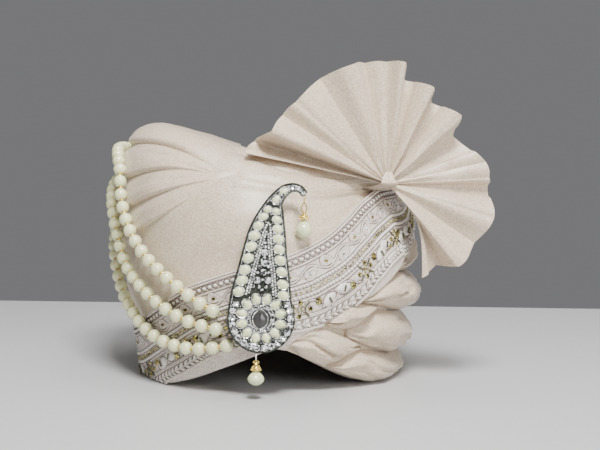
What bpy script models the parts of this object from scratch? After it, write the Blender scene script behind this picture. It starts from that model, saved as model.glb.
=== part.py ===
"""A groom's tied turban with its pleated cockade, embroidered border, jewelled pin and three pearl strands.

Metres, +Z up. The forehead faces -Y and +X is the wearer's left. The origin is the middle of the head
opening, on the surface that the turban stands on. Azimuth 0 is the forehead, 90 the wearer's left,
180 the nape and 270 the wearer's right. Every layer of cloth is laid on one surface, the skin.
"""

import math
from collections import namedtuple

import bmesh
import bpy
from mathutils import Matrix, Vector

# The wound crown
CROWN_HALF_WIDTH = 0.113
CROWN_HALF_DEPTH = 0.126
CROWN_HEIGHT = 0.180
WOUND_WALL = 0.011
NOTCH_HEIGHT = 0.031
NOTCH_AZIMUTH = 3.5
NOTCH_HALF_ANGLE = 45.0
SADDLE_FALL = 0.26
SADDLE_OUT = -0.26
SADDLE_UP = 0.90

# How the layers lie on each other
LAYER_GAP = 0.0012
PANEL_THICKNESS = 0.0020
PLEAT_TUCK = 0.0012
PLEAT_LIFT = 0.0036
ROLL_EDGE = 0.0016
ROLL_HEIGHT = 0.0160
SADDLE_FOLD_HEIGHT = 0.0042
BAND_THICKNESS = 0.0030
BAND_CORD = 0.0010
BAND_PAD = 0.0095

# Where layers end short of each other, as shares of the way up the skin from rim to saddle
PLEAT_START = 0.004
PLEAT_END = 0.003
PANEL_START = 0.006
PANEL_END = 0.003
PANEL_LEAST = 0.010
FOLD_START = 0.0038
FOLD_SPLIT = 0.004
ROLL_END = 0.002
ROLL_UNDER_BAND = 0.008
ROLL_TUCKED = 0.025
LAYER_LEAST = 0.014
CROWN_SEAM = 0.68
CROWN_SEAM_GAP = 0.0036

# The pleated cockade
FAN_RADIUS = 0.084
FAN_DEPTH = 0.0135
FAN_CLOTH = 0.0020
FAN_HUB_RADIUS = 0.0040
FAN_TURN = 8.0
FAN_OUT = 0.717
FAN_FORWARD = 0.576
FAN_UP = 0.778
NECK_HALF_WIDTH = 0.0062
NECK_HALF_DEPTH = 0.0030
NECK_STANDOFF = 0.0052
NECK_AZIMUTH = 55.0
NECK_SEAT_RISE = 0.022
NECK_SAG = 0.001

# The jewelled pin, its stones and its drops
PIN_LENGTH = 0.0865
PIN_BOWL_RADIUS = 0.0215
PIN_PLATE = 0.0018
PIN_LEAN = 8.0
PIN_AZIMUTH = -1.86
PIN_RISE = 0.1834
PIN_CLEARANCE = 0.0076
STONE_SEAT = 0.0003
LEAF_STONE_LENGTH = 0.0076
LEAF_STONE_WIDTH = 0.0061
LEAF_STONE_TILT = 20.0
STONE_HEIGHT = 0.0021
CRYSTAL_RADIUS = 0.0021
CRYSTAL_HEIGHT = 0.0016
HEART_LENGTH = 0.0120
HEART_WIDTH = 0.0096
HEART_HEIGHT = 0.0030
HEART_OUT = -0.0006
RING_RADIUS = 0.0021
RING_WIRE = 0.00045
RING_GAP = 0.0003
DROP_RADIUS = 0.0055
LOWER_DROP_LENGTH = 0.0106
UPPER_DROP_LENGTH = 0.0136
LOWER_CAP_LENGTH = 0.0062
UPPER_CAP_LENGTH = 0.0105
CAP_RADIUS = 0.0030
DROP_TIP = 0.0012
LOWER_DROP_OUT = -0.0030

PETALS = 12
PETAL_RING = 0.0132
PETAL_LENGTH = 0.0074
PETAL_WIDTH = 0.0057
PETAL_OUT = 0.0
FLANK_STONES = 9
FLANK_START = 1.25
FLANK_END = 5.20
FLANK_SHRINK = 0.26
HOOK_STONE_LENGTH = 0.0066
HOOK_STONE_WIDTH = 0.0049
HOOK_STONES = ((6.15, 60), (7.0, 30))
CAP_SHAPE = ((0.20, 0.0), (0.22, -0.45), (0.70, -0.60), (0.85, -0.85), (1.0, -1.0))
MIDDLE_CRYSTALS = ((0.018, 0.50), (0.018, 0.42), (0.010, 0.35), (-0.036, 0.29), (0.046, 0.29))

# The pearls
PEARL_RADIUS = 0.0046
PEARL_PITCH = 0.0104
PEARL_BARREL = 0.93
THREAD_RADIUS = 0.0016
PEARL_HOLE_DEPTH = 0.0003
PEARL_LIFT = 0.0098

AZIMUTH_STEP = 9
RISES = (0.0, 0.10, 0.20, 0.30, 0.40, 0.50, 0.58, 0.65, 0.715, 0.78, 0.86, 0.93)
INNER_RISES = (0.0, 0.15, 0.35, 0.55, 0.72, 0.88)
NODE_RISES = (0.0, 0.30, 0.58, 0.78, 1.0)

# Shares of the half width and depth (out) and of the height (up) at eight places round the crown
Profile = namedtuple(
    "Profile", "azimuth rim_out belly_out belly_up shoulder_out shoulder_up crest_out crest_up"
)
PROFILES = (
    Profile(0, 0.910, 0.945, 0.40, 0.860, 0.70, 0.570, 0.850),
    Profile(45, 0.815, 0.890, 0.38, 0.790, 0.67, 0.550, 0.815),
    Profile(90, 0.745, 0.840, 0.40, 0.790, 0.68, 0.590, 0.810),
    Profile(135, 0.820, 0.920, 0.40, 0.845, 0.68, 0.570, 0.820),
    Profile(180, 0.890, 0.970, 0.42, 0.860, 0.70, 0.570, 0.860),
    Profile(225, 0.860, 0.970, 0.50, 0.890, 0.80, 0.650, 0.925),
    Profile(270, 0.810, 0.950, 0.50, 0.940, 0.86, 0.760, 0.975),
    Profile(315, 0.875, 0.955, 0.50, 0.895, 0.80, 0.660, 0.920),
)

# The border's lower and upper edge, as azimuths and shares of the crown's height
BandRow = namedtuple("BandRow", "low_azimuth low_up high_azimuth high_up")
BAND = (
    BandRow(-111, 0.000, -111, 0.150),
    BandRow(-88, 0.000, -88, 0.170),
    BandRow(-64, 0.000, -65, 0.203),
    BandRow(-44, 0.000, -46, 0.290),
    BandRow(-28, 0.000, -31, 0.380),
    BandRow(-14, 0.000, -17, 0.438),
    BandRow(-2, 0.000, -5, 0.480),
    BandRow(8, 0.185, 6, 0.513),
    BandRow(19, 0.256, 15, 0.550),
    BandRow(31, 0.316, 23, 0.588),
    BandRow(44, 0.366, 31, 0.635),
    BandRow(57, 0.435, 39.5, 0.680),
    BandRow(69, 0.515, 47, 0.706),
    BandRow(79, 0.580, 56, 0.726),
    BandRow(90, 0.622, 70, 0.730),
    BandRow(102, 0.640, 87, 0.728),
    BandRow(114, 0.650, 106, 0.725),
)

# The creases of the right wing: the height where each meets the side, and how far it bows upwards
Crease = namedtuple("Crease", "side_angle bow")
CREASES = (
    Crease(-33.0, 0.001),
    Crease(-20.0, 0.005),
    Crease(-5.0, 0.008),
    Crease(13.0, 0.010),
)
GATHER_OUT = -0.257
GATHER_UP = 0.79
WING_REACH = 0.75
WING_TOP_RISE = 0.87

# The upper edge of the front panel, right of the gather
FoldRow = namedtuple("FoldRow", "azimuth up")
PANEL_FOLD = (
    FoldRow(-15, 0.790),
    FoldRow(0, 0.765),
    FoldRow(15, 0.735),
    FoldRow(30, 0.730),
    FoldRow(45, 0.735),
)

# The edges between the rolls at the left temple and the nape, as shares of the height
RollRow = namedtuple("RollRow", "azimuth rim leaf temple cheek side upper")
ROLLS = (
    RollRow(3, 0.165, 0.240, 0.260, 0.280, 0.300, 0.320),
    RollRow(18, 0.110, 0.250, 0.270, 0.290, 0.310, 0.330),
    RollRow(27, 0.105, 0.222, 0.238, 0.330, 0.350, 0.370),
    RollRow(36, 0.140, 0.185, 0.240, 0.325, 0.370, 0.390),
    RollRow(45, 0.135, 0.150, 0.285, 0.315, 0.390, 0.420),
    RollRow(63, 0.100, 0.105, 0.270, 0.275, 0.420, 0.490),
    RollRow(90, 0.095, 0.100, 0.240, 0.245, 0.410, 0.590),
    RollRow(135, 0.110, 0.115, 0.260, 0.265, 0.430, 0.600),
    RollRow(180, 0.120, 0.125, 0.280, 0.285, 0.450, 0.610),
    RollRow(225, 0.105, 0.110, 0.240, 0.245, 0.390, 0.540),
    RollRow(252, 0.080, 0.085, 0.180, 0.185, 0.300, 0.420),
)
RollSpan = namedtuple("RollSpan", "name low high start end height")
ROLL_SPANS = (
    RollSpan("rim_roll", None, "rim", 27, 243, 0.80),
    RollSpan("leaf_roll", "rim", "leaf", 13.5, 36, 0.60),
    RollSpan("temple_roll", "leaf", "temple", 36, 243, 0.95),
    RollSpan("cheek_roll", "temple", "cheek", 27, 45, 0.75),
    RollSpan("side_roll", "cheek", "side", 45, 243, 1.00),
    RollSpan("upper_roll", "side", "upper", 63, 234, 0.80),
)

# The folds that lie over the saddle behind the forehead, as rises up the skin
SaddleRow = namedtuple("SaddleRow", "azimuth split top")
SADDLE_FOLDS = (
    SaddleRow(-27, 0.800, 0.910),
    SaddleRow(0, 0.735, 0.820),
    SaddleRow(18, 0.720, 0.795),
    SaddleRow(36, 0.715, 0.785),
    SaddleRow(54, 0.725, 0.790),
    SaddleRow(63, 0.730, 0.790),
)

# The folds of the cockade, turning from the wearer's right over the top to the left: the angle above
# level, the reach and the forward lift of each, as shares of its radius and depth
Fold = namedtuple("Fold", "angle reach lift")
FAN_FOLDS = (
    Fold(168.5, 1.225, 0.25),
    Fold(163, 1.150, -0.70),
    Fold(157, 1.085, 0.95),
    Fold(148, 1.055, 0.20),
    Fold(140, 1.040, 0.50),
    Fold(123, 1.045, 0.10),
    Fold(106, 1.040, 0.45),
    Fold(92, 1.020, 0.15),
    Fold(84, 1.015, 0.75),
    Fold(80, 0.885, -0.45),
    Fold(67, 0.885, 0.55),
    Fold(61, 0.780, -0.50),
    Fold(46, 0.830, 0.60),
    Fold(35, 0.705, -0.70),
    Fold(13, 0.860, 0.15),
    Fold(4, 0.870, -0.35),
    Fold(-16, 0.930, 0.70),
    Fold(-34, 0.895, 0.25),
    Fold(-47, 0.900, 0.85),
    Fold(-57, 0.820, -0.50),
    Fold(-68, 0.850, -0.05),
)

# The pin's outline from its bowl to the tip of its hook, as shares of its length
SpineRow = namedtuple("SpineRow", "across up half_width")
PIN_SPINE = (
    SpineRow(-0.003, 0.000, 0.249),
    SpineRow(-0.006, 0.150, 0.225),
    SpineRow(0.008, 0.318, 0.197),
    SpineRow(0.018, 0.497, 0.162),
    SpineRow(0.036, 0.659, 0.133),
    SpineRow(0.064, 0.798, 0.090),
    SpineRow(0.092, 0.890, 0.052),
    SpineRow(0.156, 0.969, 0.036),
    SpineRow(0.220, 0.997, 0.026),
    SpineRow(0.277, 0.986, 0.021),
    SpineRow(0.312, 0.948, 0.018),
)

# Where the pearl strands lie: azimuths and rises up the skin, from the pin round to the nape
RoutePoint = namedtuple("RoutePoint", "azimuth rise")
STRANDS = (
    (
        RoutePoint(-15.5, 0.190), RoutePoint(-30, 0.241), RoutePoint(-46, 0.300), RoutePoint(-57, 0.376),
        RoutePoint(-64, 0.460), RoutePoint(-69, 0.540), RoutePoint(-80, 0.590), RoutePoint(-97, 0.605),
        RoutePoint(-113, 0.600), RoutePoint(-128, 0.590),
    ),
    (
        RoutePoint(-14.5, 0.137), RoutePoint(-29, 0.163), RoutePoint(-46, 0.210), RoutePoint(-59, 0.262),
        RoutePoint(-67, 0.330), RoutePoint(-78, 0.420), RoutePoint(-94, 0.485), RoutePoint(-112, 0.510),
        RoutePoint(-128, 0.515),
    ),
    (
        RoutePoint(-11, 0.082), RoutePoint(-26, 0.085), RoutePoint(-44, 0.116), RoutePoint(-60, 0.163),
        RoutePoint(-71, 0.215), RoutePoint(-84, 0.300), RoutePoint(-100, 0.375), RoutePoint(-116, 0.420),
        RoutePoint(-129, 0.440),
    ),
)


def catmull(before, start, end, after, share):
    """The smooth curve through four values, read between the middle two."""
    curve = (
        2 * start
        + (end - before) * share
        + (2 * before - 5 * start + 4 * end - after) * share**2
        + (3 * start - 3 * end + after - before) * share**3
    )
    return curve / 2


def hermite(start, end, leave, arrive, share):
    """A curve from start to end that leaves and arrives along two given directions."""
    square, cube = share**2, share**3
    return (
        start * (2 * cube - 3 * square + 1)
        + leave * (cube - 2 * square + share)
        + end * (3 * square - 2 * cube)
        + arrive * (cube - square)
    )


def read_table(rows, key, at):
    """Every column of a table of rows, read smoothly at one place along its first column."""
    places = [getattr(row, key) for row in rows]
    at = min(max(at, places[0]), places[-1])
    i = max(k for k in range(len(rows) - 1) if places[k] <= at)
    share = (at - places[i]) / (places[i + 1] - places[i])
    near = [rows[min(max(k, 0), len(rows) - 1)] for k in (i - 1, i, i + 1, i + 2)]
    return type(rows[0])(*(catmull(*values, share) for values in zip(*near)))


def profile_at(azimuth):
    """The crown's profile at an azimuth, between the table's eight."""
    step = 360 / len(PROFILES)
    place = (azimuth % 360) / step
    i = int(place)
    near = [PROFILES[(i + k) % len(PROFILES)] for k in (-1, 0, 1, 2)]
    return Profile(*(catmull(*values, place - i) for values in zip(*near)))


def notch(azimuth):
    """How high the rim is raised over the forehead."""
    away = abs((azimuth - NOTCH_AZIMUTH + 180) % 360 - 180)
    rounded = math.hypot(away, 3.0) - 3.0
    return NOTCH_HEIGHT * max(0.0, 1 - rounded / NOTCH_HALF_ANGLE) ** 1.3


def skin(azimuth, rise):
    """A point of the crown's surface, from the rim (rise 0) to the saddle (rise 1)."""
    row = profile_at(azimuth)
    turn = math.radians(azimuth)

    def place(out, up):
        return Vector(
            (
                out * CROWN_HALF_WIDTH * math.sin(turn),
                -out * CROWN_HALF_DEPTH * math.cos(turn),
                up * CROWN_HEIGHT,
            )
        )

    saddle = Vector((SADDLE_OUT * CROWN_HALF_WIDTH, 0, SADDLE_UP * CROWN_HEIGHT))
    rim = place(row.rim_out, 0)
    rim.z = notch(azimuth)
    knots = (
        rim,
        place(row.belly_out, row.belly_up),
        place(row.shoulder_out, row.shoulder_up),
        place(row.crest_out, row.crest_up),
        saddle,
    )
    slopes = [(knots[1] - knots[0]) / NODE_RISES[1]]
    for k in (1, 2, 3):
        slopes.append((knots[k + 1] - knots[k - 1]) / (NODE_RISES[k + 1] - NODE_RISES[k - 1]))
    last = (saddle - knots[3]) / (1 - NODE_RISES[3])
    slopes.append(Vector((last.x, last.y, -SADDLE_FALL * last.x)))
    i = max(k for k in range(4) if NODE_RISES[k] <= rise)
    span = NODE_RISES[i + 1] - NODE_RISES[i]
    share = (rise - NODE_RISES[i]) / span
    return hermite(knots[i], knots[i + 1], slopes[i] * span, slopes[i + 1] * span, share)


def skin_normal(azimuth, rise):
    """The skin's outward direction."""
    if rise > 0.995:
        return Vector((SADDLE_FALL, 0, 1)).normalized()
    low, high = max(rise - 0.01, 0.0), min(rise + 0.01, 1.0)
    along = skin(azimuth + 1, rise) - skin(azimuth - 1, rise)
    upward = skin(azimuth, high) - skin(azimuth, low)
    return along.cross(upward).normalized()


def off_skin(azimuth, rise, lift):
    """A point at a height above the skin, never under the rim."""
    point = skin(azimuth, rise) + skin_normal(azimuth, rise) * lift
    point.z = max(point.z, 0.0)
    return point


def solve_rise(azimuth, passed, top=NODE_RISES[3]):
    """The rise at which a test, false at the rim, becomes true on the way up."""
    low, high = 0.0, top
    for _ in range(22):
        middle = (low + high) / 2
        if passed(skin(azimuth, middle)):
            high = middle
        else:
            low = middle
    return (low + high) / 2


def rise_at(azimuth, up):
    """The rise at which the skin reaches a share of the crown's height."""
    return solve_rise(azimuth, lambda point: point.z > up * CROWN_HEIGHT)


def crease_rise(azimuth, crease):
    """The rise at which a crease of the right wing crosses this azimuth."""
    slope = math.tan(math.radians(crease.side_angle))

    def passed(point):
        out = GATHER_OUT * CROWN_HALF_WIDTH - point.x
        share = min(max(out / (WING_REACH * CROWN_HALF_WIDTH), 0), 1)
        line = GATHER_UP * CROWN_HEIGHT + slope * out + crease.bow * math.sin(math.pi * share)
        return point.z > line

    return solve_rise(azimuth, passed)


def band_place(along, across):
    """The azimuth and rise of a place on the border, from its tail to the knot and up its width."""
    station = along * (len(BAND) - 1)
    i = min(int(station), len(BAND) - 2)
    near = [BAND[min(max(k, 0), len(BAND) - 1)] for k in (i - 1, i, i + 1, i + 2)]
    row = BandRow(*(catmull(*values, station - i) for values in zip(*near)))
    low = rise_at(row.low_azimuth, max(row.low_up, 0))
    high = rise_at(row.high_azimuth, row.high_up)
    azimuth = row.low_azimuth + (row.high_azimuth - row.low_azimuth) * across
    return azimuth, low + (high - low) * across


def band_edge_rise(azimuth, across):
    """The rise of the border's lower (0) or upper (1) edge at an azimuth."""
    low, high = 0.0, 0.93
    for _ in range(20):
        middle = (low + high) / 2
        if band_place(middle, across)[0] > azimuth:
            high = middle
        else:
            low = middle
    return band_place((low + high) / 2, across)[1]


def finish(name, mesh_maker, material, smooth=35):
    """Puts a bmesh into the scene as one shaded object."""
    mesh = bpy.data.meshes.new(name)
    mesh_maker.normal_update()
    mesh_maker.to_mesh(mesh)
    mesh_maker.free()
    mesh.shade_smooth()
    mesh.set_sharp_from_angle(angle=math.radians(smooth))
    mesh.materials.append(material)
    item = bpy.data.objects.new(name, mesh)
    bpy.context.scene.collection.objects.link(item)
    return item


def make_material(name, colour, roughness, metallic=0.0):
    """A plain finish."""
    material = bpy.data.materials.new(name)
    material.use_nodes = True
    shader = material.node_tree.nodes["Principled BSDF"]
    shader.inputs["Base Color"].default_value = (*colour, 1)
    shader.inputs["Roughness"].default_value = roughness
    shader.inputs["Metallic"].default_value = metallic
    return material


def layer(name, outer, inner, material, smooth=50):
    """A closed wall between two grids of points: rows run along the layer, columns up its width."""
    maker = bmesh.new()
    front = [[maker.verts.new(point) for point in row] for row in outer]
    back = [[maker.verts.new(point) for point in row] for row in inner]
    for near, far in zip(front, front[1:]):
        for j in range(len(near) - 1):
            maker.faces.new((near[j], far[j], far[j + 1], near[j + 1]))
    for near, far in zip(back, back[1:]):
        for j in range(len(near) - 1):
            maker.faces.new((near[j], near[j + 1], far[j + 1], far[j]))
    for i in range(len(front) - 1):
        maker.faces.new((front[i][0], back[i][0], back[i + 1][0], front[i + 1][0]))
        maker.faces.new((front[i][-1], front[i + 1][-1], back[i + 1][-1], back[i][-1]))
    maker.faces.new((*front[0], *reversed(back[0])))
    maker.faces.new((*back[-1], *reversed(front[-1])))
    return finish(name, maker, material, smooth)


def skin_layer(name, stations, shares, place, thickness, material, skip=1):
    """A layer laid on the skin. place gives azimuth and rise, thickness the height of its face.

    Its back takes every point of its width, or with skip fewer.
    """
    outer, inner = [], []
    for station in stations:
        under = shares[::skip]
        inner.append([off_skin(*place(station, share), LAYER_GAP) for share in under])
        outer.append(
            [off_skin(*place(station, share), LAYER_GAP + thickness(station, share)) for share in shares]
        )
    return layer(name, outer, inner, material)


def steps(start, end, step):
    """Evenly spaced values, both ends included."""
    count = round((end - start) / step)
    return [start + (end - start) * k / count for k in range(count + 1)]


def make_crown(silk):
    """The hollow crown, open below and notched over the forehead, with its domed top as a piece of its own."""
    edge, start = CROWN_SEAM - CROWN_SEAM_GAP / 2, CROWN_SEAM + CROWN_SEAM_GAP / 2
    walls = [[rise for rise in rises if rise < CROWN_SEAM] + [edge] for rises in (RISES, INNER_RISES)]
    domes = [[start] + [rise for rise in rises if rise > CROWN_SEAM] for rises in (RISES, INNER_RISES)]
    for name, (outer_rises, inner_rises) in (("crown", walls), ("crown_top", domes)):
        maker = bmesh.new()
        outer = wind(maker, outer_rises, 0.0)
        inner = wind(maker, inner_rises, -WOUND_WALL)
        join(maker, outer[0], inner[0], True)
        if name == "crown":
            join(maker, outer[-1], inner[-1], False)
        else:
            cover(maker, outer[-1], maker.verts.new(off_skin(0, 1.0, 0.0)), False)
            cover(maker, inner[-1], maker.verts.new(off_skin(0, 1.0, -WOUND_WALL)), True)
        finish(name, maker, silk, 50)


def wind(maker, rises, lift):
    """Rings of cloth round the crown at a height above the skin. The inner ones face inwards."""
    loops = []
    for rise in rises:
        ring = [off_skin(azimuth, rise, lift) for azimuth in steps(0, 360 - AZIMUTH_STEP, AZIMUTH_STEP)]
        if rise == 0:
            for k, point in enumerate(ring):
                point.z = notch(k * AZIMUTH_STEP)
        loops.append([maker.verts.new(point) for point in ring])
    for low, high in zip(loops, loops[1:]):
        join(maker, low, high, lift < 0)
    return loops


def join(maker, low, high, inwards):
    """Faces between two rings, seen from outside or from inside."""
    for k in range(len(low)):
        after = (k + 1) % len(low)
        quad = (low[k], low[after], high[after], high[k])
        maker.faces.new(reversed(quad) if inwards else quad)


def cover(maker, ring, top, inwards):
    """Faces from a ring up to one point, seen from outside or from inside."""
    for k in range(len(ring)):
        face = (ring[k], ring[(k + 1) % len(ring)], top)
        maker.faces.new(reversed(face) if inwards else face)


def make_wing_pleats(silk):
    """The four knife pleats that sweep over the wearer's right from gather to gather."""
    azimuths = steps(-153, -27, AZIMUTH_STEP)
    for k, crease in enumerate(CREASES):

        def place(azimuth, share, k=k, crease=crease):
            low = crease_rise(azimuth, crease) + PLEAT_START
            if k + 1 < len(CREASES):
                high = crease_rise(azimuth, CREASES[k + 1]) - PLEAT_END
            else:
                high = WING_TOP_RISE
            return azimuth, low + (max(high, low + LAYER_LEAST) - low) * share

        def thickness(azimuth, share):
            edge = min(azimuth + 162, -18 - azimuth) / 30
            swell = min(1.0, 0.35 + edge)
            return PLEAT_TUCK + (PLEAT_LIFT - PLEAT_TUCK) * (1 - share) * swell

        shares = (0, 0.33, 0.67, 1) if k < 3 else (0, 0.2, 0.4, 0.6, 0.8, 1)
        skin_layer(f"wing_pleat_{k + 1}", azimuths, shares, place, thickness, silk)


def panel_top(azimuth):
    """The rise of the front panel's upper edge."""
    if azimuth < PANEL_FOLD[0].azimuth:
        return crease_rise(azimuth, CREASES[0]) - PANEL_END
    return rise_at(azimuth, read_table(PANEL_FOLD, "azimuth", azimuth).up) - PANEL_END


def make_front_panel(silk):
    """The smooth cloth across the forehead, between the border and the creases."""

    def place(azimuth, share):
        low = band_edge_rise(azimuth, 1) + PANEL_START
        high = max(panel_top(azimuth), low + PANEL_LEAST)
        return azimuth, low + (high - low) * share

    gather = steps(-36, -9, AZIMUTH_STEP / 2)
    azimuths = steps(-108, -45, AZIMUTH_STEP) + gather + steps(0, 45, AZIMUTH_STEP)
    shares = (0, 0.2, 0.4, 0.6, 0.8, 1)
    skin_layer("front_panel", azimuths, shares, place, lambda *_: PANEL_THICKNESS, silk)


def make_saddle_folds(silk):
    """The two soft folds between the forehead and the cockade."""
    for k, name in enumerate(("saddle_fold_low", "saddle_fold_high")):

        def place(azimuth, share, k=k):
            row = read_table(SADDLE_FOLDS, "azimuth", azimuth)
            bottom = panel_top(azimuth) + FOLD_START
            low, high = (bottom, row.split) if k == 0 else (row.split + FOLD_SPLIT, row.top)
            if azimuth > 40:
                low = max(low, band_edge_rise(azimuth, 1) + PANEL_START)
            return azimuth, low + (max(high, low + LAYER_LEAST) - low) * share

        def thickness(azimuth, share):
            swell = min(1.0, (azimuth + 30) / 40)
            dome = math.sin(math.pi * share) ** 0.7 if 0 < share < 1 else 0.0
            return PLEAT_TUCK + SADDLE_FOLD_HEIGHT * swell * dome

        azimuths = steps(-18, 45 if k == 0 else 54, AZIMUTH_STEP)
        skin_layer(name, azimuths, (0, 0.25, 0.5, 0.75, 1), place, thickness, silk)


def make_border(braid):
    """The embroidered border, with its edge cords and its middle cords raised."""
    cords = {0.0: 0.3, 0.08: 1.0, 0.25: 0.0, 0.5: 1.2, 0.75: 0.0, 0.92: 0.8, 1.0: 0.2}

    def thickness(station, share):
        pad = min(1.0, max(0.0, station - 0.55) / 0.25, (1.03 - station) / 0.12)
        return BAND_THICKNESS + cords[share] * BAND_CORD + BAND_PAD * pad * (1 - 0.6 * share)

    stations = [k / 28 for k in range(29)]
    skin_layer("embroidered_border", stations, tuple(cords), band_place, thickness, braid)


def make_rolls(silk):
    """The twisted rolls at the left temple, which run on round the nape."""
    for span in ROLL_SPANS:

        def place(azimuth, share, span=span):
            row = read_table(ROLLS, "azimuth", azimuth)
            low = rise_at(azimuth, getattr(row, span.low)) + ROLL_END if span.low else 0.0
            high = rise_at(azimuth, getattr(row, span.high)) - ROLL_END
            if azimuth < 114:
                roof = band_edge_rise(azimuth, 0) - ROLL_UNDER_BAND
                low, high = min(low, roof - ROLL_TUCKED), min(high, roof)
            return azimuth, low + (max(high, low + LAYER_LEAST) - low) * share

        def thickness(azimuth, share, span=span):
            swell = min(1.0, (azimuth - span.start + 5) / 30, (span.end - azimuth + 3) / 40)
            dome = math.sin(math.pi * share) ** 0.6 if 0 < share < 1 else 0.0
            return ROLL_EDGE + ROLL_HEIGHT * span.height * math.sqrt(swell) * dome

        azimuths = steps(span.start, span.end, AZIMUTH_STEP)
        skin_layer(span.name, azimuths, (0, 0.2, 0.5, 0.8, 1), place, thickness, silk, skip=2)


def fan_hub():
    """The point where the cockade is gathered."""
    return Vector((FAN_OUT * CROWN_HALF_WIDTH, -FAN_FORWARD * CROWN_HALF_DEPTH, FAN_UP * CROWN_HEIGHT))


def make_cockade(silk):
    """The fan of stiff pleats, a thin wall folded towards and away from the viewer."""
    turn = math.radians(FAN_TURN)
    aside = Vector((math.cos(turn), math.sin(turn), 0))
    ahead = Vector((math.sin(turn), -math.cos(turn), 0))
    hub = fan_hub()
    shares = (0.0, 0.3, 0.65, 1.0)

    def point(fold, share):
        reach = FAN_HUB_RADIUS + (fold.reach * FAN_RADIUS - FAN_HUB_RADIUS) * share
        lift = fold.lift * FAN_DEPTH * reach / FAN_RADIUS
        angle = math.radians(fold.angle)
        return hub + reach * (aside * math.cos(angle) + Vector((0, 0, math.sin(angle)))) + ahead * lift

    def depth(k, share):
        facings = []
        for near, far in ((k - 1, k), (k, k + 1)):
            if near >= 0 and far < len(FAN_FOLDS):
                run = point(FAN_FOLDS[far], share) - point(FAN_FOLDS[near], share)
                facings.append(math.sqrt(max(0.0, 1 - (run.normalized().dot(ahead)) ** 2)))
        return FAN_CLOTH / max(sum(facings) / len(facings), 0.5)

    front = [[point(fold, share) for share in shares] for fold in FAN_FOLDS]
    back = [
        [point(fold, share) - ahead * depth(k, share) for share in shares]
        for k, fold in enumerate(FAN_FOLDS)
    ]
    layer("cockade", front, back, silk, 25)


def revolve(maker, rings, sides, place, cap_start=True, cap_end=True):
    """Rings of points joined into a closed round body. place turns ring values into a point."""
    loops = [
        [maker.verts.new(place(ring, 2 * math.pi * k / sides)) for k in range(sides)] for ring in rings
    ]
    for low, high in zip(loops, loops[1:]):
        for k in range(sides):
            maker.faces.new((low[k], low[(k + 1) % sides], high[(k + 1) % sides], high[k]))
    if cap_start:
        maker.faces.new(reversed(loops[0]))
    if cap_end:
        maker.faces.new(loops[-1])
    return loops


def make_neck(silk):
    """The gathered neck of the cockade, which tucks in behind the border."""
    turn = math.radians(FAN_TURN)
    aside = Vector((math.cos(turn), math.sin(turn), 0))
    ahead = Vector((math.sin(turn), -math.cos(turn), 0))
    front = fan_hub() + ahead * NECK_STANDOFF
    rise = band_edge_rise(NECK_AZIMUTH, 1) + NECK_SEAT_RISE
    seat = off_skin(NECK_AZIMUTH, rise, NECK_HALF_DEPTH + LAYER_GAP)
    rings = (
        (seat, 1.15, 0.85),
        (seat.lerp(front, 0.55) - ahead * NECK_SAG, 0.85, 0.95),
        (front, 0.70, 0.95),
        (front + Vector((0, 0, NECK_HALF_WIDTH)), 0.80, 0.80),
        (front + Vector((0, 0, NECK_HALF_WIDTH * 1.9)), 0.30, 0.40),
    )

    def place(ring, angle):
        centre, wide, deep = ring
        across = aside * math.cos(angle) * NECK_HALF_WIDTH * wide
        return centre + across - ahead * math.sin(angle) * NECK_HALF_DEPTH * deep

    maker = bmesh.new()
    revolve(maker, rings, 10, place)
    finish("cockade_neck", maker, silk, 50)


def route_curve(route):
    """A strand's route as a close row of points above the skin, with the skin's direction at each."""
    path = []
    for k in range(len(route) - 1):
        near = [route[min(max(i, 0), len(route) - 1)] for i in (k - 1, k, k + 1, k + 2)]
        for step in range(16):
            spot = [catmull(*values, step / 16) for values in zip(*near)]
            path.append((off_skin(*spot, PEARL_LIFT), skin_normal(*spot)))
    path.append((off_skin(*route[-1], PEARL_LIFT), skin_normal(*route[-1])))
    return path


def read_path(path, distance):
    """The point, direction and outward way at a distance along a path."""
    gone = 0.0
    for (near, normal), (far, _) in zip(path, path[1:]):
        span = (far - near).length
        if gone + span >= distance:
            return near.lerp(far, (distance - gone) / span), (far - near).normalized(), normal
        gone += span
    return path[-1][0], (path[-1][0] - path[-2][0]).normalized(), path[-1][1]


def make_strands(pearl):
    """The three strings of pearls: each a row of round beads run together along its thread."""
    for number, route in enumerate(STRANDS, 1):
        path = route_curve(route)
        length = sum((b[0] - a[0]).length for a, b in zip(path, path[1:]))
        count = int((length - 2 * PEARL_RADIUS) / PEARL_PITCH) + 1
        slope = PEARL_RADIUS / 2
        rings = [(-PEARL_RADIUS + PEARL_HOLE_DEPTH, THREAD_RADIUS)]
        for k in range(count):
            middle = k * PEARL_PITCH
            rings += [(middle - slope, PEARL_RADIUS), (middle + slope, PEARL_RADIUS)]
            if k + 1 < count:
                rings.append((middle + PEARL_PITCH / 2, THREAD_RADIUS))
        end = (count - 1) * PEARL_PITCH + PEARL_RADIUS - PEARL_HOLE_DEPTH
        rings.append((end, THREAD_RADIUS))
        rings = [(along, radius if radius < slope else radius * PEARL_BARREL) for along, radius in rings]

        def place(ring, angle, path=path):
            spot, ahead, out = read_path(path, ring[0] + PEARL_RADIUS)
            aside = ahead.cross(out).normalized()
            out = aside.cross(ahead)
            return spot + (aside * math.cos(angle) + out * math.sin(angle)) * ring[1]

        maker = bmesh.new()
        revolve(maker, rings, 8, place)
        bmesh.ops.recalc_face_normals(maker, faces=maker.faces)
        finish(f"pearl_strand_{number}", maker, pearl, 80)


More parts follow.
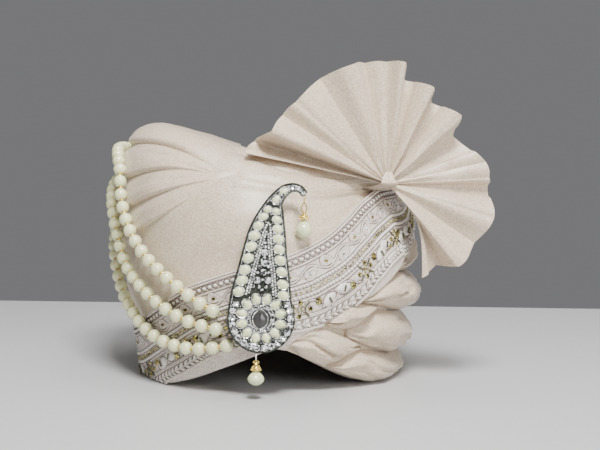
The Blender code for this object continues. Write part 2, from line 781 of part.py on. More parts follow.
def pin_frame():
    """The pin's own axes: across, up its lean and out to the front, from the middle of its bowl."""
    lean = math.radians(PIN_LEAN)
    across, up = Vector((1, 0, 0)), Vector((0, math.sin(lean), math.cos(lean)))
    base = off_skin(PIN_AZIMUTH, PIN_RISE, LAYER_GAP + BAND_THICKNESS + PIN_CLEARANCE)
    return Matrix.Translation(base) @ Matrix((across, up, across.cross(up))).transposed().to_4x4()


def spine_at(station):
    """The pin's outline row at a station counted along its spine."""
    i = min(int(station), len(PIN_SPINE) - 2)
    near = [PIN_SPINE[min(max(k, 0), len(PIN_SPINE) - 1)] for k in (i - 1, i, i + 1, i + 2)]
    return SpineRow(*(catmull(*values, station - i) * PIN_LENGTH for values in zip(*near)))


def pin_point(station, side, inset=0.0):
    """A point of the pin's face, side -1 or 1 being its edges."""
    row = spine_at(station)
    before, after = spine_at(max(station - 0.05, 0)), spine_at(min(station + 0.05, len(PIN_SPINE) - 1))
    run = Vector((after.across - before.across, after.up - before.up)).normalized()
    aside = Vector((run.y, -run.x))
    return Vector((row.across, row.up)) + aside * side * (row.half_width - inset)


def stone(name, spot, turn, length, width, height, material, point_end=0.0):
    """A domed stone on the pin's face, long along its turn, drawn to a point at one end if asked."""
    maker = bmesh.new()
    frame = pin_frame() @ Matrix.Translation((spot.x, spot.y, STONE_SEAT)) @ Matrix.Rotation(turn, 4, "Z")

    def place(ring, angle):
        taper = 1 - point_end * max(0.0, math.cos(angle)) ** 2 * 0.5
        across = math.sin(angle) * width / 2 * ring[0] * taper
        return frame @ Vector((math.cos(angle) * length / 2 * ring[0], across, ring[1] * height))

    loops = revolve(maker, ((1.0, 0.0), (0.72, 0.70)), 8, place, cap_end=False)
    top = maker.verts.new(frame @ Vector((0, 0, height)))
    for k in range(8):
        maker.faces.new((loops[-1][k], loops[-1][(k + 1) % 8], top))
    return finish(name, maker, material, 50)


def pin_outline():
    """The pin's edge: round the bowl, up the right flank, over the hook and down the left."""
    bowl = [math.radians(180 + 180 * k / 12) for k in range(13)]
    centre = PIN_SPINE[0].across * PIN_LENGTH
    points = [
        Vector((centre + PIN_BOWL_RADIUS * math.cos(a), PIN_BOWL_RADIUS * math.sin(a))) for a in bowl
    ]
    stations = [k / 2 for k in range(1, 2 * len(PIN_SPINE) - 1)]
    points += [pin_point(station, 1) for station in stations]
    points += [pin_point(station, -1) for station in reversed(stations)]
    return points


def crystal_spots():
    """Where the small round crystals sit: round the bowl and up the middle."""
    ring = PIN_BOWL_RADIUS - CRYSTAL_RADIUS * 1.15
    spots = [
        Vector((ring * math.cos(a), ring * math.sin(a)))
        for a in (math.radians(151 + 238 * k / 17) for k in range(18))
    ]
    spots += [Vector((x * PIN_LENGTH, y * PIN_LENGTH)) for x, y in MIDDLE_CRYSTALS]
    return spots


def make_pin(silver, jade, smoke):
    """The paisley pin: a silver plate with its crystals fused on, and its larger stones apart."""
    frame = pin_frame()
    maker = bmesh.new()
    outline = pin_outline()
    back = [maker.verts.new(frame @ Vector((p.x, p.y, -PIN_PLATE))) for p in outline]
    front = [maker.verts.new(frame @ Vector((p.x, p.y, 0))) for p in outline]
    count = len(outline)
    for k in range(count):
        after = (k + 1) % count
        maker.faces.new((back[k], back[after], front[after], front[k]))
    maker.faces.new(front)
    maker.faces.new(reversed(back))
    plate = finish("pin_plate", maker, silver, 30)
    crystals = bmesh.new()
    rings = ((1.0, -PIN_PLATE / 2), (1.0, CRYSTAL_HEIGHT * 0.4), (0.6, CRYSTAL_HEIGHT))
    for spot in crystal_spots():

        def place(ring, angle, spot=spot):
            reach = CRYSTAL_RADIUS * ring[0]
            return frame @ Vector(
                (spot.x + reach * math.cos(angle), spot.y + reach * math.sin(angle), ring[1])
            )

        revolve(crystals, rings, 6, place)
    cluster = finish("crystal_cluster", crystals, silver, 30)
    join = plate.modifiers.new("crystals", "BOOLEAN")
    join.operation, join.solver, join.object = "UNION", "EXACT", cluster
    cluster.hide_render = True
    cluster.display_type = "WIRE"

    heart = Vector((HEART_OUT, 0))
    stone("heart_stone", heart, math.pi / 2, HEART_LENGTH, HEART_WIDTH, HEART_HEIGHT, smoke, 1.0)
    for k in range(PETALS):
        turn = 2 * math.pi * (k + 0.5) / PETALS
        spot = Vector((math.cos(turn), math.sin(turn))) * PETAL_RING + Vector((PETAL_OUT, 0))
        stone(f"petal_stone_{k + 1:02d}", spot, turn, PETAL_LENGTH, PETAL_WIDTH, STONE_HEIGHT, jade, 0.6)
    for side, word in ((-1, "right"), (1, "left")):
        for k in range(FLANK_STONES):
            station = FLANK_START + (FLANK_END - FLANK_START) * k / (FLANK_STONES - 1)
            spot = pin_point(station, side, LEAF_STONE_LENGTH * 0.56)
            turn = -side * math.radians(LEAF_STONE_TILT)
            shrink = 1 - FLANK_SHRINK * max(0, k - 5) / 3
            stone(
                f"flank_stone_{word}_{k + 1}", spot, turn,
                LEAF_STONE_LENGTH * shrink, LEAF_STONE_WIDTH * shrink, STONE_HEIGHT, jade,
            )
    for k, (station, angle) in enumerate(HOOK_STONES):
        spot, turn = pin_point(station, 0), math.radians(angle)
        size = (HOOK_STONE_LENGTH, HOOK_STONE_WIDTH, STONE_HEIGHT)
        stone(f"hook_stone_{k + 1}", spot, turn, *size, jade)


def make_ring(name, centre, axis, metal):
    """A small round jump ring."""
    bpy.ops.mesh.primitive_torus_add(
        major_radius=RING_RADIUS, minor_radius=RING_WIRE, major_segments=10, minor_segments=5,
        location=centre, rotation=axis.to_track_quat("Z", "Y").to_euler(),
    )
    item = bpy.context.object
    item.name = item.data.name = name
    item.data.materials.append(metal)
    item.data.shade_smooth()


def make_drop(name, top, cap, length, gold, jade):
    """A gold cap and the polished drop that hangs from it, as one body."""
    maker = bmesh.new()
    rings = [(CAP_RADIUS * out, cap * up) for out, up in CAP_SHAPE]
    for share in (0.30, 0.62, 0.86, 1.0):
        radius = DROP_RADIUS * math.sin(math.pi * share**1.40) ** 0.6 if share < 1 else DROP_TIP
        rings.append((radius, -cap - length * share))

    def place(ring, angle):
        return top + Vector((ring[0] * math.cos(angle), ring[0] * math.sin(angle), ring[1]))

    revolve(maker, list(reversed(rings)), 8, place)
    item = finish(name, maker, gold, 50)
    item.data.materials.append(jade)
    for face in item.data.polygons:
        if face.center.z < top.z - cap:
            face.material_index = 1


def make_pendants(gold, jade, silver):
    """The two drops: one under the bowl, one from the hook, each on its jump ring."""
    frame = pin_frame()
    low = frame @ Vector((LOWER_DROP_OUT, -PIN_BOWL_RADIUS - RING_RADIUS, -PIN_PLATE / 2))
    tip = PIN_SPINE[-1]
    high = frame @ Vector((tip.across * PIN_LENGTH, tip.up * PIN_LENGTH - RING_RADIUS, -PIN_PLATE / 2))
    for word, spot, cap, length, metal in (
        ("lower", low, LOWER_CAP_LENGTH, LOWER_DROP_LENGTH, silver),
        ("upper", high, UPPER_CAP_LENGTH, UPPER_DROP_LENGTH, gold),
    ):
        spot = spot - Vector((0, 0, RING_WIRE + RING_GAP))
        make_ring(f"{word}_jump_ring", spot, Vector((1, 0, 0)), metal)
        top = spot - Vector((0, 0, RING_RADIUS + RING_WIRE + RING_GAP))
        make_drop(f"{word}_drop", top, cap, length, gold, jade)


def main():
    """Builds the whole turban."""
    for item in list(bpy.data.objects):
        bpy.data.objects.remove(item)
    silk = make_material("champagne_silk", (0.62, 0.54, 0.48), 0.45)
    braid = make_material("embroidered_net", (0.58, 0.50, 0.45), 0.6)
    silver = make_material("silver_plate", (0.72, 0.72, 0.70), 0.25, 1.0)
    gold = make_material("gold_plate", (0.83, 0.65, 0.30), 0.25, 1.0)
    jade = make_material("pale_jade", (0.62, 0.68, 0.50), 0.2)
    smoke = make_material("smoke_crystal", (0.12, 0.13, 0.13), 0.1)
    pearl = make_material("ivory_pearl", (0.68, 0.69, 0.52), 0.25)
    make_crown(silk)
    make_wing_pleats(silk)
    make_front_panel(silk)
    make_saddle_folds(silk)
    make_border(braid)
    make_rolls(silk)
    make_cockade(silk)
    make_neck(silk)
    make_strands(pearl)
    make_pin(silver, jade, smoke)
    make_pendants(gold, jade, silver)


main()
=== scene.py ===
"""Dresses the tied turban: wound satin, pleated cockade, embroidered border, pearls and jewelled pin."""

import logging
import math
from collections import namedtuple
from contextlib import contextmanager
from dataclasses import dataclass
from enum import Enum
from functools import partial
from typing import Callable, Dict, Iterator, List, Sequence, Tuple

import bpy
import numpy as np
from mathutils import Matrix, Vector

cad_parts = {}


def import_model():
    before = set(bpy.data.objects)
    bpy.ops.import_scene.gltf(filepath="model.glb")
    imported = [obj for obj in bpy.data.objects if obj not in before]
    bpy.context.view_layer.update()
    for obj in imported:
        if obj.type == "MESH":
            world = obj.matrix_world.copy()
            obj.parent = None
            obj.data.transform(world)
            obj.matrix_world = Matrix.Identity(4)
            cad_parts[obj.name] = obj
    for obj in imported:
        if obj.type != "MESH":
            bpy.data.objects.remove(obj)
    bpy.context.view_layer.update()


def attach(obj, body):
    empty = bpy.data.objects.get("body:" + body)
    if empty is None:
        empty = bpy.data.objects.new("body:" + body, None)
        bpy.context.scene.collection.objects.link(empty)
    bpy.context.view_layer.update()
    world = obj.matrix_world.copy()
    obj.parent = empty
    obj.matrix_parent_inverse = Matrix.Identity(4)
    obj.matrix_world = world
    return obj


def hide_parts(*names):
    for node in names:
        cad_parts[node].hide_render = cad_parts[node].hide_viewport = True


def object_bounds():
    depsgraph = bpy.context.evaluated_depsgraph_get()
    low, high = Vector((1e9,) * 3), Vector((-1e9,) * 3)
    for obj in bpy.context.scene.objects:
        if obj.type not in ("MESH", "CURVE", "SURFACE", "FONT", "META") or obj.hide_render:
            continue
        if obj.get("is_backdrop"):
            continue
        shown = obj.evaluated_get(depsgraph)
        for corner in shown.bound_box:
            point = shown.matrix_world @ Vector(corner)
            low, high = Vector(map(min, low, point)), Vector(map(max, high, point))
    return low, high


LOG = logging.getLogger("turban")
Array = np.ndarray
Mesh = bpy.types.Mesh
Piece = bpy.types.Object
Faces = List[Tuple[int, ...]]
Shape = Tuple[Array, Faces]
PlaceRule = Callable[[Array, Array], Tuple[Array, Array]]
LiftRule = Callable[[Array, Array], Array]

# Shares of the half width and depth (out) and of the height (up) at eight places round the crown
Profile = namedtuple("Profile", "azimuth rim_out belly_out belly_up shoulder_out shoulder_up crest_out crest_up")
PROFILES = (
    Profile(0, 0.910, 0.945, 0.40, 0.860, 0.70, 0.570, 0.850),
    Profile(45, 0.815, 0.890, 0.38, 0.790, 0.67, 0.550, 0.815),
    Profile(90, 0.745, 0.840, 0.40, 0.790, 0.68, 0.590, 0.810),
    Profile(135, 0.820, 0.920, 0.40, 0.845, 0.68, 0.570, 0.820),
    Profile(180, 0.890, 0.970, 0.42, 0.860, 0.70, 0.570, 0.860),
    Profile(225, 0.860, 0.970, 0.50, 0.890, 0.80, 0.650, 0.925),
    Profile(270, 0.810, 0.950, 0.50, 0.940, 0.86, 0.760, 0.975),
    Profile(315, 0.875, 0.955, 0.50, 0.895, 0.80, 0.660, 0.920),
)

# The border's lower and upper edge, as azimuths and shares of the crown's height
BandRow = namedtuple("BandRow", "low_azimuth low_up high_azimuth high_up")
BAND = (
    BandRow(-111, 0.000, -111, 0.150),
    BandRow(-88, 0.000, -88, 0.170),
    BandRow(-64, 0.000, -65, 0.203),
    BandRow(-44, 0.000, -46, 0.290),
    BandRow(-28, 0.000, -31, 0.380),
    BandRow(-14, 0.000, -17, 0.438),
    BandRow(-2, 0.000, -5, 0.480),
    BandRow(8, 0.185, 6, 0.513),
    BandRow(19, 0.256, 15, 0.550),
    BandRow(31, 0.316, 23, 0.588),
    BandRow(44, 0.366, 31, 0.635),
    BandRow(57, 0.435, 39.5, 0.680),
    BandRow(69, 0.515, 47, 0.706),
    BandRow(79, 0.580, 56, 0.726),
    BandRow(90, 0.622, 70, 0.730),
    BandRow(102, 0.640, 87, 0.728),
    BandRow(114, 0.650, 106, 0.725),
)

# The creases of the right wing: the angle at which each leaves its gather, and how far it bows upwards
Crease = namedtuple("Crease", "side_angle bow")
CREASES = (
    Crease(-33.0, 0.001),
    Crease(-20.0, 0.005),
    Crease(-5.0, 0.008),
    Crease(13.0, 0.010),
)

# The upper edge of the front panel, left of the gather
FoldRow = namedtuple("FoldRow", "azimuth up")
PANEL_FOLD = (
    FoldRow(-15, 0.790),
    FoldRow(0, 0.765),
    FoldRow(15, 0.735),
    FoldRow(30, 0.730),
    FoldRow(45, 0.735),
)

# The edges between the rolls at the left temple and the nape, as shares of the height
RollRow = namedtuple("RollRow", "azimuth rim leaf temple cheek side upper")
ROLLS = (
    RollRow(3, 0.165, 0.240, 0.260, 0.280, 0.300, 0.320),
    RollRow(18, 0.110, 0.250, 0.270, 0.290, 0.310, 0.330),
    RollRow(27, 0.105, 0.222, 0.238, 0.330, 0.350, 0.370),
    RollRow(36, 0.140, 0.185, 0.240, 0.325, 0.370, 0.390),
    RollRow(45, 0.135, 0.150, 0.285, 0.315, 0.390, 0.420),
    RollRow(63, 0.100, 0.105, 0.270, 0.275, 0.420, 0.490),
    RollRow(90, 0.095, 0.100, 0.240, 0.245, 0.410, 0.590),
    RollRow(135, 0.110, 0.115, 0.260, 0.265, 0.430, 0.600),
    RollRow(180, 0.120, 0.125, 0.280, 0.285, 0.450, 0.610),
    RollRow(225, 0.105, 0.110, 0.240, 0.245, 0.390, 0.540),
    RollRow(252, 0.080, 0.085, 0.180, 0.185, 0.300, 0.420),
)
RollSpan = namedtuple("RollSpan", "name low high start end height taper")
ROLL_SPANS = (
    RollSpan("rim_roll", None, "rim", 24, 249, 0.80, 0.01),
    RollSpan("leaf_roll", "rim", "leaf", 5, 41, 0.60, 8),
    RollSpan("temple_roll", "leaf", "temple", 31, 249, 0.95, 0.01),
    RollSpan("cheek_roll", "temple", "cheek", 22, 49, 0.75, 0.01),
    RollSpan("side_roll", "cheek", "side", 38, 249, 1.00, 0.01),
    RollSpan("upper_roll", "side", "upper", 55, 240, 0.80, 0.01),
)

# The folds that lie over the saddle behind the forehead, as rises up the skin
SaddleRow = namedtuple("SaddleRow", "azimuth split top")
SADDLE_FOLDS = (
    SaddleRow(-27, 0.800, 0.910),
    SaddleRow(0, 0.735, 0.820),
    SaddleRow(18, 0.720, 0.795),
    SaddleRow(36, 0.715, 0.785),
    SaddleRow(54, 0.725, 0.790),
    SaddleRow(63, 0.730, 0.790),
)

# The folds of the cockade, turning from the wearer's right over the top to the left
Fold = namedtuple("Fold", "angle reach lift")
FAN_FOLDS = (
    Fold(168.5, 1.225, 0.25),
    Fold(163, 1.150, -0.70),
    Fold(157, 1.080, 0.95),
    Fold(148, 1.045, 0.20),
    Fold(140, 1.030, 0.55),
    Fold(124, 1.035, 0.00),
    Fold(107.5, 1.030, 0.60),
    Fold(102, 1.015, 0.08),
    Fold(92, 1.005, 0.25),
    Fold(84, 1.005, 0.80),
    Fold(80, 0.875, -0.50),
    Fold(66, 0.880, 0.60),
    Fold(60.5, 0.780, -0.55),
    Fold(44, 0.830, 0.65),
    Fold(35, 0.705, -0.75),
    Fold(13, 0.855, 0.15),
    Fold(4, 0.870, 0.10),
    Fold(-2, 0.880, -0.45),
    Fold(-17, 0.930, 0.70),
    Fold(-33, 0.895, 0.15),
    Fold(-48, 0.900, 0.90),
    Fold(-57, 0.820, -0.50),
    Fold(-68, 0.850, -0.05),
)

# Where the pearl strands lie: azimuths and rises up the skin, from the pin round to the nape
RoutePoint = namedtuple("RoutePoint", "azimuth rise")
STRANDS = (
    (
        RoutePoint(-15.5, 0.190), RoutePoint(-30, 0.241), RoutePoint(-46, 0.300), RoutePoint(-57, 0.376),
        RoutePoint(-64, 0.460), RoutePoint(-69, 0.540), RoutePoint(-80, 0.590), RoutePoint(-97, 0.605),
        RoutePoint(-113, 0.600), RoutePoint(-128, 0.590),
    ),
    (
        RoutePoint(-14.5, 0.137), RoutePoint(-29, 0.163), RoutePoint(-46, 0.210), RoutePoint(-59, 0.262),
        RoutePoint(-67, 0.330), RoutePoint(-78, 0.420), RoutePoint(-94, 0.485), RoutePoint(-112, 0.510),
        RoutePoint(-128, 0.515),
    ),
    (
        RoutePoint(-11, 0.082), RoutePoint(-26, 0.085), RoutePoint(-44, 0.116), RoutePoint(-60, 0.163),
        RoutePoint(-71, 0.215), RoutePoint(-84, 0.300), RoutePoint(-100, 0.375), RoutePoint(-116, 0.420),
        RoutePoint(-129, 0.440),
    ),
)


def smooth_table(rows: Sequence[Tuple[float, ...]], at: Array) -> Array:
    """Reads every column of a table smoothly at places along its first column.

    Args:
        rows: The table, sorted along its first column.
        at: The places to read.

    Returns:
        One row of columns for each place, the first column left out.
    """
    table = np.array(rows, dtype=float)
    places, values = table[:, 0], table[:, 1:]
    at = np.clip(np.asarray(at, dtype=float), places[0], places[-1])
    i = np.clip(np.searchsorted(places, at, side="right") - 1, 0, len(places) - 2)
    share = ((at - places[i]) / (places[i + 1] - places[i]))[..., None]
    last = len(places) - 1
    before, start = values[np.clip(i - 1, 0, last)], values[i]
    end, after = values[np.clip(i + 1, 0, last)], values[np.clip(i + 2, 0, last)]
    return catmull(before, start, end, after, share)


def catmull(before: Array, start: Array, end: Array, after: Array, share: Array) -> Array:
    """The smooth curve through four values, read between the middle two.

    Args:
        before: The value before the span.
        start: At its start.
        end: At its end.
        after: After it.
        share: How far along it.

    Returns:
        The values there.
    """
    return (
        2 * start
        + (end - before) * share
        + (2 * before - 5 * start + 4 * end - after) * share**2
        + (3 * start - 3 * end + after - before) * share**3
    ) / 2


def lattice(x: Array, y: Array, seed: int) -> Array:
    """A fixed number between -1 and 1 for each whole place of a grid."""
    mixed = np.sin(x * 127.1 + y * 311.7 + seed * 74.7) * 43758.5453
    return 2 * (mixed - np.floor(mixed)) - 1


def noise(x: Array, y: Array, seed: int = 0) -> Array:
    """Smooth noise between about -1 and 1 with features one unit across.

    Args:
        x: First coordinate.
        y: Second coordinate.
        seed: Which noise.

    Returns:
        The noise at each place.
    """
    x0, y0 = np.floor(x), np.floor(y)
    fx, fy = x - x0, y - y0
    fx, fy = fx * fx * (3 - 2 * fx), fy * fy * (3 - 2 * fy)
    low = lattice(x0, y0, seed) * (1 - fx) + lattice(x0 + 1, y0, seed) * fx
    high = lattice(x0, y0 + 1, seed) * (1 - fx) + lattice(x0 + 1, y0 + 1, seed) * fx
    return low * (1 - fy) + high * fy


def ramp(low: float, high: float, at: Array) -> Array:
    """A soft step from 0 at low to 1 at high."""
    share = np.clip((at - low) / (high - low), 0, 1)
    return share * share * (3 - 2 * share)


def level(lift: float) -> LiftRule:
    """The rule of a face that lies at one height all over."""
    return lambda along, across: np.full(along.shape, lift)


def unit(vectors: Array) -> Array:
    """Vectors drawn to length one."""
    return vectors / np.maximum(np.linalg.norm(vectors, axis=-1, keepdims=True), 1e-12)


def travelled(points: Array) -> Array:
    """How far along a line each of its points lies."""
    return np.concatenate([[0], np.cumsum(np.linalg.norm(np.diff(points, axis=0), axis=1))])


def once_round(count: int) -> Array:
    """Evenly spaced angles once round, the first being 0."""
    return np.linspace(0, 2 * np.pi, count, endpoint=False)


@dataclass(frozen=True)
class Skin:
    """The surface that every layer of cloth lies on. Azimuths in degrees, rises from rim 0 to saddle 1."""

    half_width: float = 0.113
    half_depth: float = 0.126
    height: float = 0.180
    wall: float = 0.011
    notch_height: float = 0.031
    notch_azimuth: float = 3.5
    notch_half_angle: float = 45.0
    saddle_fall: float = 0.26
    saddle_out: float = -0.26
    saddle_up: float = 0.90
    gather_out: float = -0.257
    gather_up: float = 0.79
    wing_reach: float = 0.75
    knots: Tuple[float, ...] = (0.0, 0.30, 0.58, 0.78, 1.0)

    def notch(self, azimuth: Array) -> Array:
        """How high the rim is raised over the forehead.

        Args:
            azimuth: Degrees round the crown.

        Returns:
            Heights above the table.
        """
        away = np.abs((azimuth - self.notch_azimuth + 180) % 360 - 180)
        rounded = np.hypot(away, 3.0) - 3.0
        return self.notch_height * np.clip(1 - rounded / self.notch_half_angle, 0, None) ** 1.3

    def point(self, azimuth: Array, rise: Array) -> Array:
        """Points of the skin.

        Args:
            azimuth: Degrees round the crown, 0 at the forehead.
            rise: Shares of the way up, the same shape as azimuth.

        Returns:
            World points, one more dimension than the places.
        """
        azimuth, rise = np.broadcast_arrays(np.asarray(azimuth, float), np.asarray(rise, float))
        table = np.array(PROFILES, dtype=float)[:, 1:]
        place = (azimuth % 360) / (360 / len(PROFILES))
        i = place.astype(int)
        near = [table[(i + k) % len(PROFILES)] for k in (-1, 0, 1, 2)]
        row = catmull(*near, (place - i)[..., None])
        turn = np.radians(azimuth)

        def spot(out: Array, up: Array) -> Array:
            """A ring of the profile.

            Args:
                out: Its shares outward.
                up: Its shares upward.

            Returns:
                Its points.
            """
            x = out * self.half_width * np.sin(turn)
            y = -out * self.half_depth * np.cos(turn)
            return np.stack([x, y, up * self.height], axis=-1)

        rim = spot(row[..., 0], 0 * turn)
        rim[..., 2] = self.notch(azimuth)
        saddle = np.array([self.saddle_out * self.half_width, 0, self.saddle_up * self.height])
        saddle = np.broadcast_to(saddle, rim.shape)
        knots = [rim, spot(row[..., 1], row[..., 2]), spot(row[..., 3], row[..., 4])]
        knots += [spot(row[..., 5], row[..., 6]), saddle]
        t = self.knots
        slopes = [(knots[1] - knots[0]) / t[1]]
        slopes += [(knots[k + 1] - knots[k - 1]) / (t[k + 1] - t[k - 1]) for k in (1, 2, 3)]
        last = (saddle - knots[3]) / (1 - t[3])
        last = np.stack([last[..., 0], last[..., 1], -self.saddle_fall * last[..., 0]], axis=-1)
        slopes.append(last)
        result = np.zeros(rim.shape)
        for k in range(4):
            inside = (rise >= t[k]) & ((rise < t[k + 1]) | (k == 3))
            span = t[k + 1] - t[k]
            s = ((rise - t[k]) / span)[..., None]
            part = (
                knots[k] * (2 * s**3 - 3 * s**2 + 1)
                + slopes[k] * span * (s**3 - 2 * s**2 + s)
                + knots[k + 1] * (3 * s**2 - 2 * s**3)
                + slopes[k + 1] * span * (s**3 - s**2)
            )
            result[inside] = part[inside]
        return result

    def normal(self, azimuth: Array, rise: Array) -> Array:
        """The skin's outward directions at places on it.

        Args:
            azimuth: Degrees round the crown.
            rise: Shares of the way up.

        Returns:
            Unit vectors.
        """
        azimuth, rise = np.broadcast_arrays(np.asarray(azimuth, float), np.asarray(rise, float))
        along = self.point(azimuth + 1, rise) - self.point(azimuth - 1, rise)
        upward = self.point(azimuth, np.clip(rise + 0.01, 0, 1)) - self.point(azimuth, np.clip(rise - 0.01, 0, 1))
        top = np.array([self.saddle_fall, 0, 1]) / math.hypot(self.saddle_fall, 1)
        return np.where(rise[..., None] > 0.99, top, unit(np.cross(along, upward)))

    def lifted(self, azimuth: Array, rise: Array, lift: Array) -> Array:
        """Points at heights above the skin, never under the rim's plane.

        Args:
            azimuth: Degrees round the crown.
            rise: Shares of the way up.
            lift: Heights above the skin.

        Returns:
            World points.
        """
        points = self.point(azimuth, rise) + self.normal(azimuth, rise) * np.asarray(lift)[..., None]
        points[..., 2] = np.maximum(points[..., 2], 0.0)
        return points

    def solve(self, azimuth: Array, passed: Callable[[Array], Array]) -> Array:
        """The rises at which a test on points, false at the rim, becomes true on the way up.

        Args:
            azimuth: Degrees round the crown.
            passed: Says of points whether they are past the place.

        Returns:
            One rise for each azimuth.
        """
        low, high = np.zeros(np.shape(azimuth)), np.full(np.shape(azimuth), self.knots[3])
        for _ in range(18):
            middle = (low + high) / 2
            over = passed(self.point(azimuth, middle))
            low, high = np.where(over, low, middle), np.where(over, middle, high)
        return (low + high) / 2

    def rise_at(self, azimuth: Array, up: Array) -> Array:
        """The rises at which the skin reaches shares of its height."""
        return self.solve(azimuth, lambda points: points[..., 2] > up * self.height)

    def crease_rise(self, azimuth: Array, crease: Crease) -> Array:
        """The rises at which a crease of the right wing crosses these azimuths.

        Args:
            azimuth: Degrees round the crown.
            crease: Which crease.

        Returns:
            One rise for each azimuth.
        """
        slope = math.tan(math.radians(crease.side_angle))

        def passed(points: Array) -> Array:
            """Whether points lie above the crease.

            Args:
                points: Points of the skin.

            Returns:
                One answer for each.
            """
            out = self.gather_out * self.half_width - points[..., 0]
            share = np.clip(out / (self.wing_reach * self.half_width), 0, 1)
            line = self.gather_up * self.height + slope * out + crease.bow * np.sin(np.pi * share)
            return points[..., 2] > line

        return self.solve(azimuth, passed)


@dataclass
class BorderPath:
    """The course of the embroidered border over the skin."""

    skin: Skin
    rows: int = 401

    def __post_init__(self) -> None:
        """Reads the border's edges once, finely."""
        self.along = np.linspace(0, 1, self.rows)
        table = smooth_table([(k, *row) for k, row in enumerate(BAND)], self.along * (len(BAND) - 1))
        self.low_azimuth, self.high_azimuth = table[:, 0], table[:, 2]
        self.low_rise = self.skin.rise_at(self.low_azimuth, np.clip(table[:, 1], 0, None))
        self.high_rise = self.skin.rise_at(self.high_azimuth, table[:, 3])

    def place(self, along: Array, across: Array) -> Tuple[Array, Array]:
        """The azimuth and rise of places on the border.

        Args:
            along: Shares of its length, from its tail on the right to the nape.
            across: Shares of its width, from the lower edge up.

        Returns:
            Azimuths and rises.
        """
        edges = (self.low_azimuth, self.high_azimuth, self.low_rise, self.high_rise)
        low_azimuth, high_azimuth, low, high = (np.interp(along, self.along, edge) for edge in edges)
        return low_azimuth + (high_azimuth - low_azimuth) * across, low + (high - low) * across

    def edge_rise(self, azimuth: Array, across: float) -> Array:
        """The rises of the border's lower (0) or upper (1) edge at azimuths."""
        azimuths, rises = self.place(self.along, np.full(len(self.along), across))
        return np.interp(azimuth, azimuths, rises)


@dataclass(frozen=True)
class Satin:
    """A woven satin finish with a fine grain: real in its roughness and bumps, and painted into its colour as glints.
    """

    name: str
    colour: Tuple[float, float, float]
    shade: Tuple[float, float, float]
    roughness: float = 0.42
    sheen: float = 0.35
    # Strength of the painted glints: the grain's speckle mixed lighter and darker into the colour.
    grain: float = 0.22

    def make(self) -> bpy.types.Material:
        """Builds the material.

        Returns:
            The material.
        """
        material, shader, nodes, links = start_material(self.name)
        coordinates = nodes.new("ShaderNodeTexCoord")
        cloud = set_inputs(nodes.new("ShaderNodeTexNoise"), Scale=22, Detail=3)
        grain = set_inputs(nodes.new("ShaderNodeTexNoise"), Scale=1000, Detail=2)
        for texture in (cloud, grain):
            links.new(coordinates.outputs["Object"], texture.inputs["Vector"])
        tint = tone_ramp(nodes, (0.30, self.shade), (0.70, self.colour))
        links.new(cloud.outputs["Fac"], tint.inputs["Fac"])
        # Painted glints: the fine grain speckles the colour lighter and darker, standing in for the satin's sparkle.
        glint = nodes.new("ShaderNodeMix")
        glint.data_type = "RGBA"
        glint.blend_type = "SOFT_LIGHT"
        glint.inputs["Factor"].default_value = self.grain
        links.new(tint.outputs["Color"], glint.inputs["A"])
        spark = set_inputs(nodes.new("ShaderNodeMapRange"), From_Min=0.36, From_Max=0.66)
        links.new(grain.outputs["Fac"], spark.inputs["Value"])
        links.new(spark.outputs["Result"], glint.inputs["B"])
        links.new(glint.outputs["Result"], shader.inputs["Base Color"])
        rough = set_inputs(nodes.new("ShaderNodeMapRange"), From_Min=0.3, From_Max=0.7)
        set_inputs(rough, To_Min=self.roughness - 0.10, To_Max=self.roughness + 0.12)
        links.new(grain.outputs["Fac"], rough.inputs["Value"])
        links.new(rough.outputs["Result"], shader.inputs["Roughness"])
        bump = set_inputs(nodes.new("ShaderNodeBump"), Strength=0.5, Distance=0.0004)
        links.new(grain.outputs["Fac"], bump.inputs["Height"])
        links.new(bump.outputs["Normal"], shader.inputs["Normal"])
        set_inputs(shader, Sheen_Weight=self.sheen, Sheen_Roughness=0.35)
        return material


